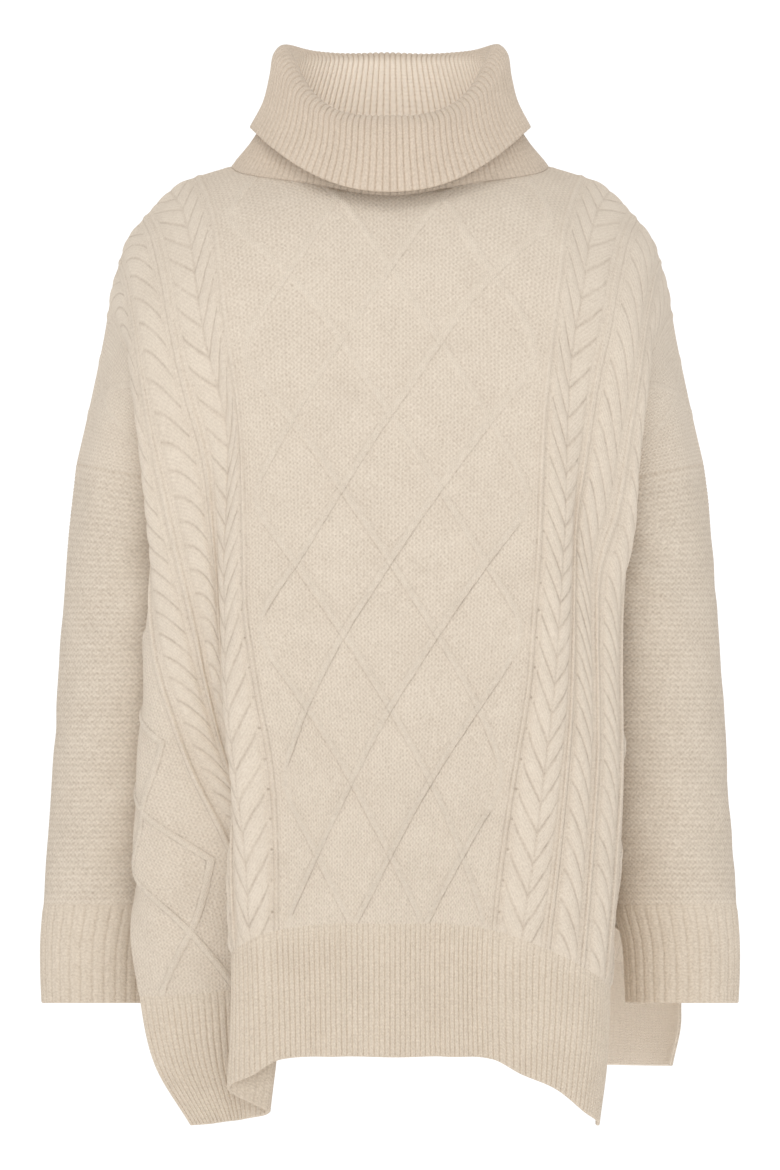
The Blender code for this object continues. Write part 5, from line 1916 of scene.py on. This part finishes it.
class Knit:
    """Builds a knit finish: stitch bumps, a heathered colour, painted shade, highlight and inside
    light.
    """

    # From the middle of a raised line to the shaded line at its foot.
    LATTICE_FOOT = 3.6
    SIDE_FOOT = 3.4
    LINE_FOOT = 2.3
    THIN = 0.9          # half the width of a shaded line

    def __init__(self, yarn: Yarn) -> None:
        """Start the material.

        Args:
            yarn: its colours and stitches.
        """
        self.yarn = yarn
        self.paint = Paint(yarn.name)
        self.place = self.paint.node("ShaderNodeTexCoord", output="Object")
        number = self.paint.node("ShaderNodeUVMap", {"uv_map": "stitches"})
        self.wale = self.paint.node("ShaderNodeSeparateXYZ", {}, {0: number})
        self.course = Value(self.paint, self.wale.socket.node.outputs[1])

    def written(self, name: str) -> Value:
        """A value stored on the mesh."""
        return self.paint.node("ShaderNodeAttribute", {"attribute_name": name}, output="Fac")

    def noise(self, scale: float, detail: float) -> Value:
        """Smooth noise through the cloth, 0 to 1."""
        return self.paint.noise(self.place, scale, detail)

    @staticmethod
    def groove(distance: Value, half: float) -> Value:
        """1 in a narrow furrow, falling to 0 beside it."""
        return (1.0 - distance / half).at_least(0.0)

    @staticmethod
    def band(across: Value, low: float, high: float) -> Value:
        """1 between two places, 0 elsewhere."""
        return abs(across - (low + high) / 2.0).below((high - low) / 2.0)

    def stitches(self, cable: Optional[Value]) -> Value:
        """Height of the stitches: moss, and plain stitch where the cloth is plain.

        Args:
            cable: 1 on a cable, where stitches are flatter, if the cloth has cables.

        Returns:
            The height, 0 to 1.
        """
        u = self.wale + (self.noise(240.0, 2.0) - 0.5) * 0.9
        v = self.course + (self.noise(170.0, 2.0) - 0.5) * 1.3
        rows = self.yarn.rows
        check = (u * (1.5 * math.pi)).sine() * (v * (1.3 * math.pi)).sine()
        upright = (u * (2.0 * math.pi)).cosine()
        level = (v * math.pi).cosine()
        moss = check * 0.4 + upright * (0.26 - rows) + level * rows + 0.5
        wing = u.to_whole() * 2.0
        leg = ((v + wing * 0.55) * (2.0 * math.pi)).cosine() * 0.5 + 0.5
        column = (wing * math.pi).sine()
        plain = (leg * 0.5 + 0.5) * (column * 0.6 + 0.4)
        knit = moss + (plain - moss) * self.written("plain")
        return knit + (0.6 - knit) * cable * 0.6 if cable else knit

    def cables(self, s: Value, t: Value) -> tuple[Value, Value, Value]:
        """Narrow furrows between the strands of the cables.

        Args:
            s, t: flat place across and down.

        Returns:
            How deep each place lies in a furrow, 1 on a cable, and the strands' own lines.
        """
        size = PATTERN
        a, side = abs(s), s.sign()
        inner, outer = size.braid
        off = (a - (inner + outer) / 2.0) / ((outer - inner) / 2.0)
        u = abs(off)
        near, far = size.braid_steep
        steep = off.above(0.0) * (far - near) + near
        phase = t / size.cable_pitch + u * steep + u * u * u * size.braid_curl
        mask = self.band(a, inner + 0.5, outer - 0.5)
        between, middle = self.groove(phase.to_whole(), 0.08), self.groove(u, 0.08) * 0.6
        total = self.paint.math("MAXIMUM", between, middle) * mask
        lines = phase * mask
        left, right = size.rope_steep
        steep = (left + right) / 2.0 - side * ((left - right) / 2.0)
        for inner, outer in size.ropes:
            u = (a - (inner + outer) / 2.0) / ((outer - inner) / 2.0) * side
            phase = t / size.cable_pitch - u * steep - u * u * size.rope_curl
            on = self.band(a, inner + 0.5, outer - 0.5)
            total = total + self.groove(phase.to_whole(), 0.08) * on
            lines = lines + phase * on
            mask = mask + on
        fine = (lines * (2.0 * math.pi * 6.0)).cosine()
        return total, mask, fine * mask

    def lattice(self, s: Value, t: Value) -> Value:
        """Thin shaded lines at the feet of the middle lattice's ridges.

        Args:
            s, t: flat place across and down.

        Returns:
            How dark each place is.
        """
        size = PATTERN
        slope = size.lattice_half / (3.0 * size.lattice_row)
        drop = (t - size.lattice_start + size.lattice_row * 3.0) * slope
        half = slope * size.lattice_row
        total = 0.0
        for turn, weight in ((1.0, 1.0), (-1.0, 0.6)):
            off = self.paint.math("WRAP", s * turn + drop, half, -half)
            right = self.groove(abs(off - self.LATTICE_FOOT), self.THIN)
            left = self.groove(abs(off + self.LATTICE_FOOT), 0.8) * 0.4
            total = (right + left) * weight + total
        return total * abs(s).below(size.lattice_half - 12.0)

    def side_lines(self, a: Value, t: Value) -> Value:
        """Thin shaded lines beside the side lattice's ridges and beside the rib lines.

        Args:
            a: distance from the middle line.
            t: flat place down.

        Returns:
            How dark each place is.
        """
        size = PATTERN
        swing = 1.0 - ((t - size.lattice_start) / (4.0 * size.lattice_row)).to_whole() * 4.0
        off = abs(a - size.side_middle) - abs(swing) * size.side_half
        total = self.groove(abs(abs(off) - self.SIDE_FOOT), self.THIN) * 0.8
        total = total * a.above(size.rib_lines[-1] + 6.0)
        for line in size.rib_lines:
            total = total + self.groove(abs(abs(a - line) - self.LINE_FOOT), self.THIN) * 0.9
        return total

    def eyelets(self, a: Value, t: Value) -> Value:
        """Small holes beside the cables, as dents and as dark dots of painted shade, one for each
        turn of a strand.

        Args:
            a: distance from the middle line.
            t: flat place down.

        Returns:
            How dark each place is.
        """
        total = 0.0
        run = (t + 6.0).to_whole(PATTERN.cable_pitch)
        for line, weight in PATTERN.eyelets:
            off = a - line
            total = self.groove((off * off + run * run) ** 0.5, 1.3) * weight + total
        return total

    def pattern(self) -> tuple[Value, Value, Value]:
        """Dents of the raised pattern, for the bump and as painted shade.

        Returns:
            How deep each place is dented, 1 on a cable, and the strands' own lines.
        """
        uneven = self.noise(120.0, 2.0) - 0.5
        s = self.wale * Body.WALE + uneven * 0.9
        t = self.course * Body.COURSE + uneven * 1.6
        grooves, cable, fine = self.cables(s, t)
        a = abs(s)
        # Painted shade: thin lines at the feet of the raised lines, on the lattice stronger on their
        # right, and dots in small holes.
        foot_shade = self.lattice(s, t) + self.side_lines(a, t) + self.eyelets(a, t)
        fade = (t / 300.0 - 0.3).at_least(0.5).at_most(1.0)
        broken = self.noise(60.0, 2.0) * 1.3 + 0.1
        return (grooves + foot_shade * fade) * broken, cable, fine

    def build(self) -> bpy.types.Material:
        """Make the material.

        Returns:
            The finished material.
        """
        yarn, paint = self.yarn, self.paint
        # Painted shade in the furrows, uneven.
        furrow_shade = self.written("furrow_shade") * (self.noise(45.0, 1.0) * 1.6 + 0.2) * yarn.furrow_shade
        dents_and_shade, cable, fine = self.pattern() if yarn.patterned else (0.0, None, 0.0)
        height = self.stitches(cable) + fine * 0.16
        fibre = self.noise(1500.0, 3.0) - 0.5
        fleck = self.noise(520.0, 1.0) - 0.5
        cloud = self.noise(38.0, 3.0) - 0.5
        # Painted shade of the stitches: their tops lighter and their hollows darker; the flecks,
        # cloud and fibres are the yarn's own heather.
        tone = (height - 0.5) * 0.55 + fleck * (yarn.fleck * 17.0)
        tone = tone + cloud * 0.4 + fibre * 0.7 + 0.53
        # Painted shade in the furrows and in the dents of the pattern.
        tone = tone - furrow_shade - dents_and_shade * 0.65
        if yarn.patterned:
            # Painted highlight: the raised pattern's plain stitch a little lighter.
            tone = tone + self.written("plain") * 0.1
        tone = tone.at_least(-0.4).at_most(1.0)
        colour = paint.mix(tone * 0.7 + 0.3, (*yarn.deep, 1.0), (*yarn.colour, 1.0))
        # Painted light on insides that would lie in shade.
        painted_inside_light = self.written("painted_inside_light")
        colour = paint.mix(painted_inside_light, colour, (*yarn.painted_inside_light, 1.0))
        relief = height + fibre * 0.5 + fleck * 0.5 - dents_and_shade * 1.5
        bump = paint.node("ShaderNodeBump", {}, {"Strength": 0.8, "Distance": yarn.depth * MM,
                                                 "Height": relief})
        return paint.dress({
            "Base Color": colour, "Normal": bump, "Roughness": 0.95, "Specular IOR Level": 0.15,
            # Painted glow on the insides, in their own colour.
            "Emission Color": paint.mix(painted_inside_light, (0.0, 0.0, 0.0, 1.0), colour),
            "Emission Strength": yarn.painted_glow,
            "Sheen Weight": yarn.sheen, "Sheen Roughness": 0.6, "Sheen Tint": (*yarn.painted_inside_light, 1.0),
        })


BODY_YARN = Yarn("body_wool", (0.79, 0.695, 0.58), (0.48, 0.39, 0.305), patterned=True)
SLEEVE_YARN = Yarn("sleeve_wool", (0.78, 0.685, 0.57), (0.46, 0.37, 0.285), fleck=0.07, rows=0.26)
RIB_YARN = Yarn("rib_wool", (0.78, 0.68, 0.56), (0.46, 0.37, 0.28))
COLLAR_YARN = Yarn("collar_wool", (0.735, 0.62, 0.505), (0.46, 0.37, 0.28), furrow_shade=0.3)


# ---- studio ----
Place = tuple[float, float, float]


@dataclass(frozen=True)
class Lamp:
    """A square soft light that points at a place; metres and watts."""

    name: str
    place: Place
    aim: Place
    size: float
    power: float

    def build(self) -> None:
        """Hang the lamp."""
        data = bpy.data.lights.new(self.name, "AREA")
        data.shape = "SQUARE"
        data.size = self.size
        data.energy = self.power
        item = bpy.data.objects.new(self.name, data)
        item.location = self.place
        way = Vector(self.aim) - Vector(self.place)
        item.rotation_euler = way.to_track_quat("-Z", "Y").to_euler()
        bpy.context.scene.collection.objects.link(item)


class Studio:
    """Pale floor, soft light and the camera of the photograph."""

    FLOOR = -0.80
    HALF = 30.0
    VIEW = 0.90675      # how much the camera sees from top to bottom at the sweater
    SENSOR = 24.0
    WHITE = (1.0, 1.0, 1.0, 1.0)
    PAINT = (0.9, 0.9, 0.9, 1.0)
    FLOOR_GLOW = 0.36
    SURROUND = 0.66
    SEEN = 1.1          # strength of the plain white that the camera sees
    LAMPS = (Lamp("front", (0.1, -3.6, 0.3), (0.0, 0.0, -0.3), 2.4, 26.0),
             Lamp("key", (-0.45, -1.4, 2.0), (0.0, 0.0, -0.1), 1.2, 12.0))

    @classmethod
    def floor(cls) -> None:
        """A plain pale floor below the hanging sweater."""
        paint = Paint("floor_paint")
        material = paint.dress({"Base Color": cls.PAINT, "Roughness": 0.9,
                                "Emission Color": cls.WHITE, "Emission Strength": cls.FLOOR_GLOW})
        white = paint.node("ShaderNodeEmission", {}, {"Color": cls.WHITE, "Strength": cls.SEEN})
        shade = paint.for_camera(Value(paint, paint.shader.outputs[0]), white)
        paint.feed(paint.tree.nodes["Material Output"].inputs["Surface"], shade)
        corners = ((-1, -1), (1, -1), (1, 1), (-1, 1))
        mesh = bpy.data.meshes.new("floor")
        mesh.from_pydata([(x * cls.HALF, y * cls.HALF, cls.FLOOR) for x, y in corners], [],
                         [(0, 1, 2, 3)])
        mesh.materials.append(material)
        item = bpy.data.objects.new("floor", mesh)
        bpy.context.scene.collection.objects.link(item)

    @classmethod
    def world(cls) -> None:
        """An even white surround."""
        world = bpy.data.worlds.new("studio")
        bpy.context.scene.world = world
        world.use_nodes = True
        graph = Graph(world.node_tree)
        lit = graph.tree.nodes["Background"]
        graph.feed(lit.inputs["Color"], cls.WHITE)
        graph.feed(lit.inputs["Strength"], cls.SURROUND)
        white = graph.node("ShaderNodeBackground", {}, {"Color": cls.WHITE, "Strength": cls.SEEN})
        shade = graph.for_camera(Value(graph, lit.outputs[0]), white)
        graph.feed(graph.tree.nodes["World Output"].inputs["Surface"], shade)

    @classmethod
    def camera(cls) -> None:
        """The camera at the photograph's angle."""
        data = bpy.data.cameras.new("view")
        data.sensor_fit = "VERTICAL"
        data.sensor_height = cls.SENSOR
        data.lens = cls.SENSOR * VIEW_DISTANCE * MM / cls.VIEW
        item = bpy.data.objects.new("view", data)
        item.location = (0.0, -VIEW_DISTANCE * MM, VIEW_HEIGHT * MM)
        item.rotation_euler = (math.pi / 2.0, 0.0, 0.0)
        bpy.context.scene.collection.objects.link(item)
        bpy.context.scene.camera = item

    @classmethod
    def build(cls) -> None:
        """Set the whole studio up."""
        cls.floor()
        cls.world()
        for lamp in cls.LAMPS:
            lamp.build()
        cls.camera()
        bpy.context.scene.view_settings.view_transform = "Standard"


# ---- all of it ----
@dataclass(frozen=True)
class Cut:
    """A piece before it is sewn.

    Attributes:
        slot: which knit it is made of.
        flat: its width and length in metres.
        hangs_from: the nodes that it is sewn to.
        area: its flat area in square metres, where it isn't a rectangle.
    """

    slot: str
    flat: tuple[float, float]
    hangs_from: tuple[str, ...]
    area: Optional[float] = None


class Sweater:
    """Builds every knitted piece and ties it to the frame."""

    def __init__(self) -> None:
        """Prepare the finishes."""
        self.body_wool, self.sleeve_wool, self.rib_wool, self.collar_wool = (
            Knit(yarn).build() for yarn in (BODY_YARN, SLEEVE_YARN, RIB_YARN, COLLAR_YARN))

    @staticmethod
    def keep(piece: bpy.types.Object, node: str) -> None:
        """Put a piece in place of its node, hide that node's part and log the piece's count of faces.

        Args:
            piece: the knitted piece.
            node: its node.
        """
        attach(piece, "root")
        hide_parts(node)
        LOG.info("%s: %d faces", piece.name, len(piece.data.polygons))

    def build(self) -> None:
        """Build the body, the sleeves and the collar."""
        body = Body()
        self.keep(body.panel("knit_front", body.front, self.body_wool), "front_panel")
        self.keep(body.panel("knit_back", body.back, self.body_wool), "back_panel")
        self.keep(body.band("rib_front", body.front, self.rib_wool), "front_hem_rib")
        self.keep(body.band("rib_back", body.back, self.rib_wool), "back_hem_rib")
        for side in Side:
            word = side.name.lower()
            sleeve = Sleeve(body, side)
            self.keep(sleeve.build("knit_sleeve_" + word, self.sleeve_wool), "sleeve_" + word)
            self.keep(sleeve.cuff("rib_cuff_" + word, self.rib_wool), "cuff_" + word)
        self.keep(Collar(body).build("rib_collar", self.collar_wool), "collar")


def main() -> None:
    """Build the sweater and its studio."""
    logging.basicConfig(level=logging.INFO)
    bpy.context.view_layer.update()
    Sweater().build()
    Studio.build()
    bpy.context.view_layer.update()


if __name__ == "__main__":
    main()
